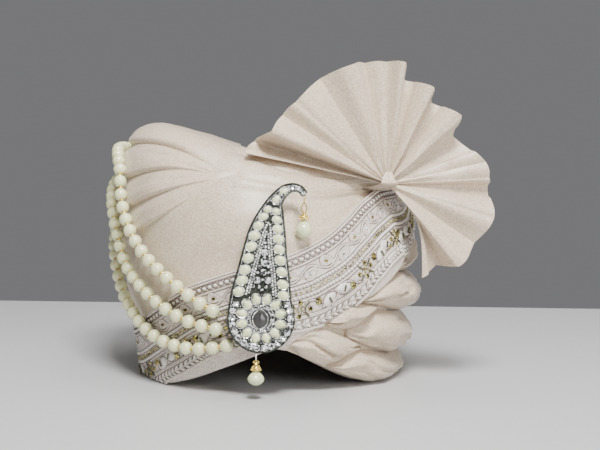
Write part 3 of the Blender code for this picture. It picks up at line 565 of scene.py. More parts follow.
@dataclass(frozen=True)
class Gloss:
    """A smooth hard finish, such as plated metal, glass or pearl."""

    name: str
    colour: Tuple[float, float, float]
    roughness: float
    metallic: float = 0.0
    coat: float = 0.0
    sparkle: float = 0.0
    # How far the colour darkens: random mottling, and for finishes with sparkle, painted glints facet by facet.
    mottle_and_glint: float = 0.12
    scale: float = 300.0

    def make(self) -> bpy.types.Material:
        """Builds the material.

        Returns:
            The material.
        """
        material, shader, nodes, links = start_material(self.name)
        coordinates = nodes.new("ShaderNodeTexCoord")
        if self.sparkle:
            tone = self.facets(nodes, links, coordinates, shader)
        else:
            cloud = set_inputs(nodes.new("ShaderNodeTexNoise"), Scale=self.scale, Detail=3)
            links.new(coordinates.outputs["Object"], cloud.inputs["Vector"])
            tone = cloud.outputs["Fac"]
        # With sparkle this ramp paints glints, each facet lighter or darker; without sparkle, the noise mottles the
        # colour at random.
        dark = tuple(channel * (1 - self.mottle_and_glint * 2) for channel in self.colour)
        tint = tone_ramp(nodes, (0.32, dark), (0.62, self.colour))
        links.new(tone, tint.inputs["Fac"])
        links.new(tint.outputs["Color"], shader.inputs["Base Color"])
        set_inputs(shader, Roughness=self.roughness, Metallic=self.metallic)
        set_inputs(shader, Coat_Weight=self.coat, Coat_Roughness=0.06)
        return material

    def facets(
        self, nodes: bpy.types.Nodes, links: bpy.types.NodeLinks, coordinates: bpy.types.Node, shader: bpy.types.Node
    ) -> bpy.types.NodeSocket:
        """Breaks the finish into small facets, each with its own tilt and its own tone, the tone being a painted
        glint.

        Args:
            nodes: The material's nodes.
            links: Its links.
            coordinates: Its texture coordinates.
            shader: Its shader, whose normal is tilted.

        Returns:
            The socket with each facet's tone, a painted glint.
        """
        cells = nodes.new("ShaderNodeTexVoronoi")
        cells.inputs["Scale"].default_value = self.scale
        links.new(coordinates.outputs["Object"], cells.inputs["Vector"])
        centred = nodes.new("ShaderNodeVectorMath")
        centred.operation = "SUBTRACT"
        centred.inputs[1].default_value = (0.5, 0.5, 0.5)
        links.new(cells.outputs["Color"], centred.inputs[0])
        tilted = nodes.new("ShaderNodeVectorMath")
        tilted.operation = "SCALE"
        tilted.inputs["Scale"].default_value = self.sparkle
        links.new(centred.outputs["Vector"], tilted.inputs[0])
        summed = nodes.new("ShaderNodeVectorMath")
        summed.operation = "ADD"
        geometry = nodes.new("ShaderNodeNewGeometry")
        links.new(geometry.outputs["Normal"], summed.inputs[0])
        links.new(tilted.outputs["Vector"], summed.inputs[1])
        links.new(summed.outputs["Vector"], shader.inputs["Normal"])
        tone = nodes.new("ShaderNodeSeparateColor")
        links.new(cells.outputs["Color"], tone.inputs["Color"])
        return tone.outputs["Red"]


def start_material(name: str) -> Tuple[bpy.types.Material, bpy.types.Node, bpy.types.Nodes, bpy.types.NodeLinks]:
    """A new material with its shader, node list and link list.

    Args:
        name: Its name.

    Returns:
        The material, its shader, its nodes and its links.
    """
    material = bpy.data.materials.new(name)
    material.use_nodes = True
    tree = material.node_tree
    return material, tree.nodes["Principled BSDF"], tree.nodes, tree.links


def set_inputs(node: bpy.types.Node, **values: float) -> bpy.types.Node:
    """Sets a node's sockets, each space of their names written as an underscore.

    Args:
        node: The node.
        values: The value of each socket.

    Returns:
        The same node.
    """
    for name, value in values.items():
        node.inputs[name.replace("_", " ")].default_value = value
    return node


def tone_ramp(nodes: bpy.types.Nodes, *stops: Tuple[float, Tuple[float, float, float]]) -> bpy.types.Node:
    """A colour ramp.

    Args:
        nodes: The material's nodes.
        stops: Two pairs of a place on the ramp and its colour.

    Returns:
        The ramp's node.
    """
    tint = nodes.new("ShaderNodeValToRGB")
    for element, (position, colour) in zip(tint.color_ramp.elements, stops):
        element.position = position
        element.color = (*colour, 1)
    return tint


class Finish(Enum):
    """The finishes of this turban."""

    SILK = Satin(
        "champagne_satin", (0.672, 0.556, 0.424), (0.588, 0.482, 0.362),
        roughness=0.34, sheen=0.30, grain=0.42,
    )
    LINING = Satin("cream_lining", (0.56, 0.50, 0.43), (0.50, 0.44, 0.38), roughness=0.8, sheen=0.1, grain=0.1)
    NET = Satin("border_net", (0.74, 0.645, 0.575), (0.63, 0.54, 0.48), roughness=0.5, sheen=0.4, grain=0.6)
    THREAD = Satin("embroidery_thread", (0.80, 0.72, 0.65), (0.62, 0.54, 0.48), roughness=0.32, sheen=0.5, grain=0.5)
    SILVER = Gloss("antique_silver", (0.93, 0.93, 0.90), 0.16, metallic=0.5, mottle_and_glint=0.30, scale=700.0, sparkle=0.5)
    DARK_SILVER = Gloss("oxidised_silver", (0.085, 0.095, 0.075), 0.35, metallic=0.7, mottle_and_glint=0.35, scale=700.0)
    GOLD = Gloss("gold_plating", (0.95, 0.70, 0.20), 0.24, metallic=0.85, mottle_and_glint=0.10)
    PEARL = Gloss("ivory_pearl", (0.80, 0.80, 0.47), 0.20, coat=1.0, mottle_and_glint=0.03, scale=90.0)
    JADE = Gloss("pale_jade", (0.80, 0.85, 0.49), 0.14, coat=0.6, mottle_and_glint=0.10, scale=350.0)
    SMOKE = Gloss("smoke_crystal", (0.045, 0.044, 0.041), 0.30, coat=0.15, mottle_and_glint=0.1)
    CRYSTAL = Gloss(
        "clear_crystal", (0.97, 0.98, 0.98), 0.06,
        metallic=0.35, coat=1.0, mottle_and_glint=0.46, scale=850.0, sparkle=1.1,
    )
    BRONZE = Gloss("bronze_foil", (0.66, 0.57, 0.22), 0.16, metallic=0.8, mottle_and_glint=0.46, scale=800.0, sparkle=1.0)
    BUGLE = Gloss("dark_bugle_glass", (0.11, 0.10, 0.045), 0.12, metallic=0.4, coat=1.0)
    SEED_GOLD = Gloss("seed_bead_gold", (0.66, 0.60, 0.30), 0.25, metallic=0.6, mottle_and_glint=0.42, scale=700.0, sparkle=0.8)
    # Dark outline thread laid beside raised threads, where it also paints the shade in their grooves.
    DARK_THREAD_AND_GROOVE_SHADE = Satin("outline_thread_and_groove_shade", (0.20, 0.15, 0.125), (0.14, 0.105, 0.09), roughness=0.5, sheen=0.2)
    WHITE_THREAD = Satin(
        "white_satin_thread", (0.88, 0.84, 0.78), (0.76, 0.71, 0.65),
        roughness=0.28, sheen=0.5, grain=0.4,
    )


class Wardrobe:
    """Makes each finish once and hands it out."""

    def __init__(self) -> None:
        """Starts with nothing made."""
        self.made: Dict[Finish, bpy.types.Material] = {}

    def get(self, finish: Finish) -> bpy.types.Material:
        """The material of a finish.

        Args:
            finish: Which finish.

        Returns:
            Its material, made when first asked for.
        """
        if finish not in self.made:
            self.made[finish] = finish.value.make()
        return self.made[finish]


WARDROBE = Wardrobe()


def link_piece(name: str, mesh: Mesh, finish: Finish, angle: float = 60) -> Piece:
    """Puts a mesh into the scene as one smooth piece of a finish.

    Args:
        name: The piece's name.
        mesh: Its mesh, in place.
        finish: What it is made of.
        angle: Edges sharper than this stay sharp.

    Returns:
        The new object.
    """
    mesh.materials.clear()
    mesh.materials.append(WARDROBE.get(finish))
    mesh.shade_smooth()
    mesh.set_sharp_from_angle(angle=math.radians(angle))
    piece = bpy.data.objects.new(name, mesh)
    bpy.context.scene.collection.objects.link(piece)
    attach(piece, "root")
    LOG.info("%s: %d faces", name, len(mesh.polygons))
    return piece


def new_mesh(name: str, points: Array, faces: Faces) -> Mesh:
    """A mesh of points and faces.

    Args:
        name: Its name.
        points: One row for each point.
        faces: The point numbers of each face.

    Returns:
        The mesh.
    """
    mesh = bpy.data.meshes.new(name)
    mesh.from_pydata(points.tolist(), [], faces)
    return mesh


def mesh_points(mesh: Mesh) -> Array:
    """A mesh's vertices as rows."""
    return np.array([vertex.co for vertex in mesh.vertices], dtype=float).reshape(-1, 3)


def joined(shapes: Sequence[Shape]) -> Shape:
    """Several loose shapes as one.

    Args:
        shapes: The points and faces of each.

    Returns:
        All points and faces.
    """
    points, faces, count = [], [], 0
    for own_points, own_faces in shapes:
        points.append(own_points)
        faces += [tuple(v + count for v in face) for face in own_faces]
        count += len(own_points)
    return np.concatenate(points), faces


def moved(points: Array, place: Matrix) -> Array:
    """Points put through a placing."""
    return (np.c_[points, np.ones(len(points))] @ np.array(place).T)[:, :3]


def grid_faces(rows: int, columns: int, start: int = 0, flip: bool = False, around: bool = False) -> Faces:
    """Quads between the points of a grid numbered row by row.

    Args:
        rows: How many rows.
        columns: How many points in a row.
        start: The first point's number.
        flip: Whether the quads face the other way.
        around: Whether the last row joins the first.

    Returns:
        The quads' point numbers.
    """
    i, j = np.meshgrid(np.arange(rows if around else rows - 1), np.arange(columns - 1), indexing="ij")
    after = (i + 1) % rows
    quads = [i * columns + j, after * columns + j, after * columns + j + 1, i * columns + j + 1]
    faces = np.stack(quads, axis=-1).reshape(-1, 4) + start
    return [tuple(face) for face in (faces[:, ::-1] if flip else faces).tolist()]


def wall_between(name: str, front: Array, back: Array, finish: Finish, angle: float = 60) -> Piece:
    """A closed sheet between two grids of points, rows along it and columns across its width.

    Args:
        name: The piece's name.
        front: The outer grid.
        back: The inner grid, of the same shape.
        finish: What it is made of.
        angle: Edges sharper than this stay sharp.

    Returns:
        The new object.
    """
    rows, columns = front.shape[:2]
    count = rows * columns
    faces = grid_faces(rows, columns) + grid_faces(rows, columns, count, flip=True)
    for i in range(rows - 1):
        a, b = i * columns, (i + 1) * columns
        faces.append((a, a + count, b + count, b))
        a, b = a + columns - 1, b + columns - 1
        faces.append((a, b, b + count, a + count))
    for j in range(columns - 1):
        faces.append((j, j + 1, j + 1 + count, j + count))
        a = (rows - 1) * columns + j
        faces.append((a, a + count, a + 1 + count, a + 1))
    mesh = new_mesh(name, np.concatenate([front.reshape(-1, 3), back.reshape(-1, 3)]), faces)
    return link_piece(name, mesh, finish, angle)


def stand_for(piece: Piece, slot: str, *nodes: str) -> None:
    """Hides the solids that a piece replaces."""
    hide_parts(*nodes)


@dataclass
class Cloth:
    """Sizes and ways that every layer of cloth shares."""

    skin: Skin
    path: BorderPath
    cloth: float = 0.0011

    def spread(
        self, places: PlaceRule, lifts: LiftRule, rows: Array, columns: Array, thickness: float = 0.0
    ) -> Tuple[Array, Array]:
        """Two grids of points for a sheet on the skin.

        Args:
            places: Gives azimuths and rises from the stations along and shares across.
            lifts: Gives the height of the sheet's face from the same two.
            rows: Stations along the sheet.
            columns: Shares of its width, 0 at the lower edge.
            thickness: Of the cloth, or how far its back lies under its face.

        Returns:
            The front and the back grid.
        """
        along, across = np.meshgrid(rows, columns, indexing="ij")
        azimuth, rise = places(along, across)
        lift = lifts(along, across)
        return self.skin.lifted(azimuth, rise, lift), self.skin.lifted(azimuth, rise, lift - thickness)


@dataclass
class WoundCrown(Cloth):
    """The hollow crown that everything else is laid on, with its lining."""

    fold_depth: float = 0.0016
    folds: float = 9.0

    def build(self) -> None:
        """Builds the outer wound cloth and the lining inside it."""
        azimuth = np.arange(0, 360, 1.5)
        rises = np.concatenate([np.linspace(0, 0.96, 80), [0.975, 0.99]])
        along, across = np.meshgrid(azimuth, rises, indexing="ij")
        turned = np.abs((along + 180) % 360 - 180)
        behind = ramp(60, 110, turned) * ramp(0.20, 0.35, across)
        climb = across * self.folds + 2.2 * np.sin(np.radians(along / 2)) + 0.25 * noise(along / 25, across * 3, 3)
        step = climb - np.floor(climb)
        wound = np.where(step < 0.86, step / 0.86, (1 - step) / 0.14)
        lift = -0.0006 + self.fold_depth * behind * (wound - 0.4) * ramp(1.0, 0.85, across)
        lift += 0.0004 * noise(along / 9, across * 14, 5) * behind
        outer = self.skin.lifted(along, across, lift)
        inner_rises = np.linspace(0, 0.96, 30)
        inner_along, inner_across = np.meshgrid(azimuth, inner_rises, indexing="ij")
        inner = self.skin.lifted(inner_along, inner_across, np.full(inner_along.shape, -self.skin.wall))
        inner[:, 0, 2] = self.skin.notch(azimuth)
        shell = self.close(outer, inner)
        piece = link_piece("wound_crown", shell, Finish.SILK, 50)
        stand_for(piece, "champagne_silk", "crown", "crown_top")
        piece.data.materials.append(WARDROBE.get(Finish.LINING))
        first = len(outer) * (len(rises) - 1)
        for face in piece.data.polygons:
            if first <= face.index < first + len(inner) * (len(inner_rises) - 1):
                face.material_index = 1

    def close(self, outer: Array, inner: Array) -> Mesh:
        """Joins the outer and the inner grid over the saddle and along the rim.

        Args:
            outer: The outer grid.
            inner: The lining's grid.

        Returns:
            The closed mesh.
        """
        count, columns = outer.shape[:2]
        inside = inner.shape[1]
        faces = grid_faces(count, columns, around=True)
        start = count * columns
        faces += grid_faces(count, inside, start, flip=True, around=True)
        points = [*outer.reshape(-1, 3), *inner.reshape(-1, 3)]
        top = len(points)
        for lift in (-0.0006, -self.skin.wall):
            points.append(self.skin.lifted(np.array([0.0]), np.array([1.0]), np.array([lift]))[0])
        for k in range(count):
            after = (k + 1) % count
            faces.append((k * columns + columns - 1, after * columns + columns - 1, top))
            faces.append((start + after * inside + inside - 1, start + k * inside + inside - 1, top + 1))
            faces.append((after * columns, k * columns, start + k * inside, start + after * inside))
        return new_mesh("wound_crown", np.array(points), faces)


@dataclass
class WingPleats(Cloth):
    """The four knife pleats that sweep over the wearer's right from gather to gather."""

    proud: float = 0.0062
    tuck: float = 0.0012
    under: float = 0.020
    top_rise: float = 0.93
    back_end: float = -158.0
    sink: float = 0.0017

    def build(self) -> None:
        """Builds each pleat from its folded lower edge to where it slips under the next."""
        stations = np.arange(self.back_end, -19.5, 0.75)
        shares = np.concatenate([[0, 0.003, 0.010, 0.022, 0.040, 0.065], np.linspace(0.095, 1, 34)])
        for k, crease in enumerate(CREASES):
            front, back = self.spread(partial(self.place, k), partial(self.lift, k), stations, shares, self.cloth)
            piece = wall_between(f"wing_pleat_sheet_{k + 1}", front, back, Finish.SILK)
            stand_for(piece, "champagne_silk", f"wing_pleat_{k + 1}")

    def place(self, k: int, along: Array, across: Array) -> Tuple[Array, Array]:
        """Where the k-th pleat lies.

        Args:
            k: Which pleat, the lowest being 0.
            along: Stations along it.
            across: Shares of its width, from its lower edge.

        Returns:
            Azimuths and rises.
        """
        azimuth = along[:, 0]
        low = self.skin.crease_rise(azimuth, CREASES[k])
        if k + 1 < len(CREASES):
            high = self.skin.crease_rise(azimuth, CREASES[k + 1]) + self.under
        else:
            high = np.full(azimuth.shape, self.top_rise)
        high = np.maximum(high, low + 0.02)
        return along, low[:, None] + (high - low)[:, None] * across

    def lift(self, k: int, along: Array, across: Array) -> Array:
        """How high the k-th pleat stands: proud at its folded edge, close at its top.

        Args:
            k: Which pleat.
            along: Stations along it.
            across: Shares of its width, from its lower edge.

        Returns:
            Heights above the skin.
        """
        ends = ramp(0, 34, np.minimum(along + 161, -17 - along))
        roll = np.sin(np.pi / 2 * np.clip(across / 0.075, 0, 1)) ** 0.6
        body = self.tuck + (self.proud * (0.30 + 0.70 * ends) - self.tuck) * (1 - across) ** 1.15
        pulls = noise(along / 26 + k * 7, across * 5 + along / 40, 11 + k) * 0.0006
        pulls += noise(along / 7, across * 9 + k, 21) * 0.00016
        pulls += 0.0014 * ends * np.sin(np.pi * across) ** 1.5
        sunk = np.maximum(1 - ramp(0, 3, along - self.back_end), ramp(0.93, 1.0, across)) * self.sink
        return self.cloth * 0.2 + body * (0.35 + 0.65 * roll) + pulls * ramp(0, 0.2, across) - sunk


@dataclass
class FrontPanel(Cloth):
    """The smooth satin across the forehead, between the border and the creases."""

    thickness: float = 0.0028

    def top(self, azimuth: Array) -> Array:
        """The rises of the panel's upper edge.

        Args:
            azimuth: Degrees round the crown.

        Returns:
            One rise for each azimuth.
        """
        crease = self.skin.crease_rise(azimuth, CREASES[0]) + 0.010
        fold = self.skin.rise_at(azimuth, smooth_table(PANEL_FOLD, azimuth)[..., 0])
        return crease + (fold - crease) * ramp(-24, -12, azimuth)

    def build(self) -> None:
        """Builds the panel, tucked under the border below and under the first pleat on the right."""
        stations = np.arange(-118, 58.1, 0.75)
        shares = np.concatenate([np.linspace(0, 0.93, 56), [0.955, 0.975, 0.99, 1.0]])
        front, back = self.spread(self.place, self.lift, stations, shares, self.cloth * 1.6)
        piece = wall_between("front_panel_sheet", front, back, Finish.SILK)
        stand_for(piece, "champagne_silk", "front_panel")

    def place(self, along: Array, across: Array) -> Tuple[Array, Array]:
        """Where the panel lies.

        Args:
            along: Stations along it.
            across: Shares of its width, from its lower edge.

        Returns:
            Azimuths and rises.
        """
        azimuth = along[:, 0]
        low = self.path.edge_rise(azimuth, 1) - 0.03
        high = np.maximum(self.top(azimuth), low + 0.04)
        return along, low[:, None] + (high - low)[:, None] * across

    def lift(self, along: Array, across: Array) -> Array:
        """How high the panel stands, with its drape and the lip at its folded edge.

        Args:
            along: Stations along it.
            across: Shares of its width, from its lower edge.

        Returns:
            Heights above the skin.
        """
        left = ramp(-30, -18, along)
        edge = np.sqrt(np.clip((1 - across) / 0.05, 0, 1)) * left + (1 - left)
        drape = noise(along / 30 + across * 2.5, across * 3 - along / 35, 31) * 0.0009
        pull = noise(along / 60 + across * 6, across * 1.2, 33) * 0.0006
        lip = 0.0026 * ramp(0.84, 0.97, across) * ramp(-26, -10, along)
        body = 0.0010 + self.thickness * (0.4 + 0.6 * edge) * 0.75
        return body + (drape + pull) * ramp(0, 0.15, across) + lip * edge


@dataclass
class SaddleFolds(Cloth):
    """The two soft folds between the forehead and the cockade."""

    height: float = 0.0050

    def build(self, panel: FrontPanel) -> None:
        """Builds both folds.

        Args:
            panel: The panel whose upper edge the lower fold follows.
        """
        stations, shares = np.arange(-26, 68.1, 0.75), np.linspace(0, 1, 34)
        for k, name in enumerate(("saddle_fold_low", "saddle_fold_high")):
            places = partial(self.place, panel, k)
            front, _ = self.spread(places, partial(self.lift, k), stations, shares)
            base, _ = self.spread(places, level(-0.0008), stations, shares)
            piece = wall_between(f"{name}_cloth", front, base, Finish.SILK)
            stand_for(piece, "champagne_silk", name)

    def place(self, panel: FrontPanel, k: int, along: Array, across: Array) -> Tuple[Array, Array]:
        """Where the k-th fold lies.

        Args:
            panel: What the lower fold follows.
            k: Which fold, 0 or 1.
            along: Stations along it.
            across: Shares of its width, from its lower edge.

        Returns:
            Azimuths and rises.
        """
        azimuth = along[:, 0]
        table = smooth_table(SADDLE_FOLDS, azimuth)
        if k == 0:
            low, high = panel.top(azimuth) - 0.012, table[:, 0] + 0.004
        else:
            low, high = table[:, 0] - 0.004, table[:, 1] + 0.01
        high = np.maximum(high, low + 0.02)
        return along, low[:, None] + (high - low)[:, None] * across

    def lift(self, k: int, along: Array, across: Array) -> Array:
        """How far the k-th fold bulges, with the gathers at its left end.

        Args:
            k: Which fold.
            along: Stations along it.
            across: Shares of its width, from its lower edge.

        Returns:
            Heights above the skin.
        """
        swell = ramp(-34, 4, along)
        dome = np.sin(np.pi * np.clip(across, 0, 1)) ** 0.6
        gathers = np.abs(noise(across * 7 + along / 60, along / 50, 41 + k)) * 0.0016 * ramp(-5, 45, along)
        return 0.0006 + self.height * (0.35 + 0.75 * swell) * dome - gathers * dome


@dataclass
class TempleRolls(Cloth):
    """The twisted rolls at the left temple, which run on round the nape."""

    edge: float = 0.0010
    height: float = 0.0168

    def build(self) -> None:
        """Builds the six rolls as soft padded lengths."""
        for k, span in enumerate(ROLL_SPANS):
            stations = np.arange(span.start, span.end + 0.1, 0.9 if span.end > 60 else 0.6)
            shares = (1 - np.cos(np.linspace(0, np.pi, 30))) / 2
            places = partial(self.place, span)
            front, _ = self.spread(places, partial(self.lift, span, k), stations, shares)
            back, _ = self.spread(places, level(-0.0010), stations, shares)
            piece = wall_between(f"{span.name}_cloth", front, back, Finish.SILK)
            stand_for(piece, "champagne_silk", span.name)

    def place(self, span: RollSpan, along: Array, across: Array) -> Tuple[Array, Array]:
        """Where a roll lies: between its two creases, and under the border where they meet it.

        Args:
            span: Which roll.
            along: Stations along it.
            across: Shares of its width, from its lower edge.

        Returns:
            Azimuths and rises.
        """
        azimuth = along[:, 0]
        table = RollRow(azimuth, *smooth_table(ROLLS, azimuth).T)
        low = self.skin.rise_at(azimuth, getattr(table, span.low)) if span.low else np.zeros(azimuth.shape)
        high = self.skin.rise_at(azimuth, getattr(table, span.high))
        roof = self.path.edge_rise(azimuth, 0) + 0.012 + 0.03 * ramp(120, 112, azimuth) * ramp(100, 112, azimuth)
        under = azimuth < 110
        high = np.where(under, np.minimum(high, roof), high)
        low = np.where(under, np.minimum(low, roof - 0.03), low)
        low = np.maximum(low, high - (high - low) * ramp(span.start, span.start + span.taper, azimuth))
        high = np.maximum(high, low + 0.015)
        return along, low[:, None] + (high - low)[:, None] * across

    def lift(self, span: RollSpan, k: int, along: Array, across: Array) -> Array:
        """How far a roll bulges, with the fine creases of its twist.

        Args:
            span: Which roll.
            k: Its number.
            along: Stations along it.
            across: Shares of its width, from its lower edge.

        Returns:
            Heights above the skin.
        """
        swell = np.clip(np.minimum(along - span.start, span.end - along) / 26, 0, 1) ** 0.55
        dome = np.sin(np.pi * across) ** 0.62
        near = (0.45 + 0.55 * ramp(95, 30, along)) * (0.55 if k == 0 else 1.0)
        twist = noise(along / 16 + across * 2.6, across * 3.4 - along / 26, 51 + k)
        fine = noise(along / 7 + across * 3, across * 7 - along / 12, 61 + k)
        creases = (0.0011 - 0.0046 * ramp(0.55, 0.0, np.abs(twist))) * near
        creases -= 0.0007 * ramp(0.4, 0.0, np.abs(fine))
        return self.edge + (self.height * span.height * swell + creases) * dome


@dataclass
class Cockade:
    """The fan of stiff pleats and the gathered neck below it."""

    skin: Skin
    path: BorderPath
    radius: float = 0.084
    depth: float = 0.0148
    cloth: float = 0.0016
    hub_radius: float = 0.0022
    turn: float = 8.0
    out: float = 0.717
    forward: float = 0.576
    up: float = 0.778
    neck_half_width: float = 0.0062
    neck_half_depth: float = 0.0030
    neck_standoff: float = 0.0052
    neck_azimuth: float = 55.0
    rows_per_fold: int = 18

    def hub(self) -> Array:
        """The point where the pleats gather."""
        skin = self.skin
        return np.array([self.out * skin.half_width, -self.forward * skin.half_depth, self.up * skin.height])

    def directions(self) -> Tuple[Array, Array]:
        """The ways across the fan and out of its face."""
        turn = math.radians(self.turn)
        return np.array([math.cos(turn), math.sin(turn), 0]), np.array([math.sin(turn), -math.cos(turn), 0])

    def build(self) -> None:
        """Builds the fan as one folded sheet, and its neck."""
        aside, ahead = self.directions()
        folds = np.array(FAN_FOLDS, dtype=float)
        count = len(folds)
        station = np.linspace(0, count - 1, (count - 1) * self.rows_per_fold + 1)
        i = np.clip(station.astype(int), 0, count - 2)
        share = station - i
        angles = np.radians(folds[:, 0])
        tips = np.stack([np.cos(angles), np.sin(angles)], axis=-1) * (folds[:, 1] * self.radius)[:, None]
        rim = tips[i] * (1 - share)[:, None] + tips[i + 1] * share[:, None]
        rim *= (0.992 + 0.010 * np.sin(np.pi * share))[:, None]
        angle = np.arctan2(rim[:, 1], rim[:, 0])
        reach = np.linalg.norm(rim, axis=-1)
        soft = share - np.sin(2 * np.pi * share) / (2 * np.pi) * 0.75
        lift = folds[i, 2] * (1 - soft) + folds[i + 1, 2] * soft
        radial = np.linspace(0, 1, 56)
        spread = self.hub_radius + (reach[:, None] - self.hub_radius) * radial[None, :]
        ridge = lift[:, None] * self.depth * (spread / self.radius) ** 0.75
        row, out = station[:, None], radial[None, :]
        slack = noise(row * 0.55, out * 3.2, 71) * 0.0016 * np.sin(np.pi * out**0.8)
        slack += noise(row * 1.6, out * 2.0, 73) * 0.0006 * out
        gathers = 0.0008 * np.sin(row * np.pi * 2.0) * (1 - out) ** 2 * ramp(0.0, 0.12, out)
        up = np.array([0, 0, 1.0])
        flat = spread[..., None] * (np.cos(angle)[:, None, None] * aside + np.sin(angle)[:, None, None] * up)
        wide = np.abs(angles[i + 1] - angles[i])[:, None]
        dome = 0.010 * wide * np.sin(np.pi * share)[:, None] * out * np.sign(lift[:, None] + 0.2)
        tail = ramp(count - 3.2, count - 1, row) * 0.011 * np.sin(np.pi * out**0.7)
        front = self.hub() + flat + (ridge + slack + gathers + dome)[..., None] * ahead + tail[..., None] * aside
        back = self.thicken(front, ahead)
        piece = wall_between("cockade_pleats", front, back, Finish.SILK, 40)
        stand_for(piece, "champagne_silk", "cockade")
        self.build_neck(aside, ahead)

    def thicken(self, front: Array, ahead: Array) -> Array:
        """The fan's back, one thickness of doubled cloth behind its face.

        Args:
            front: The face.
            ahead: The way out of it.

        Returns:
            The back's grid.
        """
        normal = unit(np.cross(np.gradient(front, axis=0), np.gradient(front, axis=1)))
        facing = np.abs(np.sum(normal * ahead, axis=-1, keepdims=True))
        return front - ahead * (self.cloth / np.maximum(facing, 0.5))

    def build_neck(self, aside: Array, ahead: Array) -> None:
        """Builds the gathered neck that tucks in behind the border.

        Args:
            aside: The way across the fan.
            ahead: The way out of its face.
        """
        top = self.hub() + ahead * self.neck_standoff
        rise = self.path.edge_rise(np.array([self.neck_azimuth]), 1) + 0.012
        seat = self.skin.lifted(np.array([self.neck_azimuth]), rise, np.array([self.neck_half_depth + 0.0012]))[0]
        rows = np.array([
            (0.0, *seat, 1.80, 0.8),
            (0.35, *(seat * 0.6 + top * 0.4 - ahead * 0.0006), 1.45, 0.95),
            (0.62, *(top - ahead * 0.0004), 0.88, 0.85),
            (0.82, *(top + np.array([0, 0, 0.004]) - ahead * 0.0016), 0.62, 0.55),
            (1.0, *(top + np.array([0.0005, 0, 0.0085]) - ahead * 0.0034), 0.34, 0.20),
        ])
        share = np.linspace(0, 1, 44)
        table = smooth_table(rows, share)
        angle = once_round(72)
        pleats = 1 + 0.20 * np.sin(angle * 11)[None, :] * (0.35 + 0.65 * np.sin(np.pi * share)[:, None] ** 0.5)
        wide = (table[:, 3] * self.neck_half_width)[:, None] * np.cos(angle) * pleats
        deep = (table[:, 4] * self.neck_half_depth)[:, None] * np.sin(angle) * pleats
        points = table[:, None, :3] + wide[..., None] * aside - deep[..., None] * ahead
        mesh = new_mesh("cockade_neck_cloth", points.reshape(-1, 3), tube_faces(len(share), len(angle), False))
        piece = link_piece("cockade_neck_cloth", mesh, Finish.SILK)
        stand_for(piece, "champagne_silk", "cockade_neck")


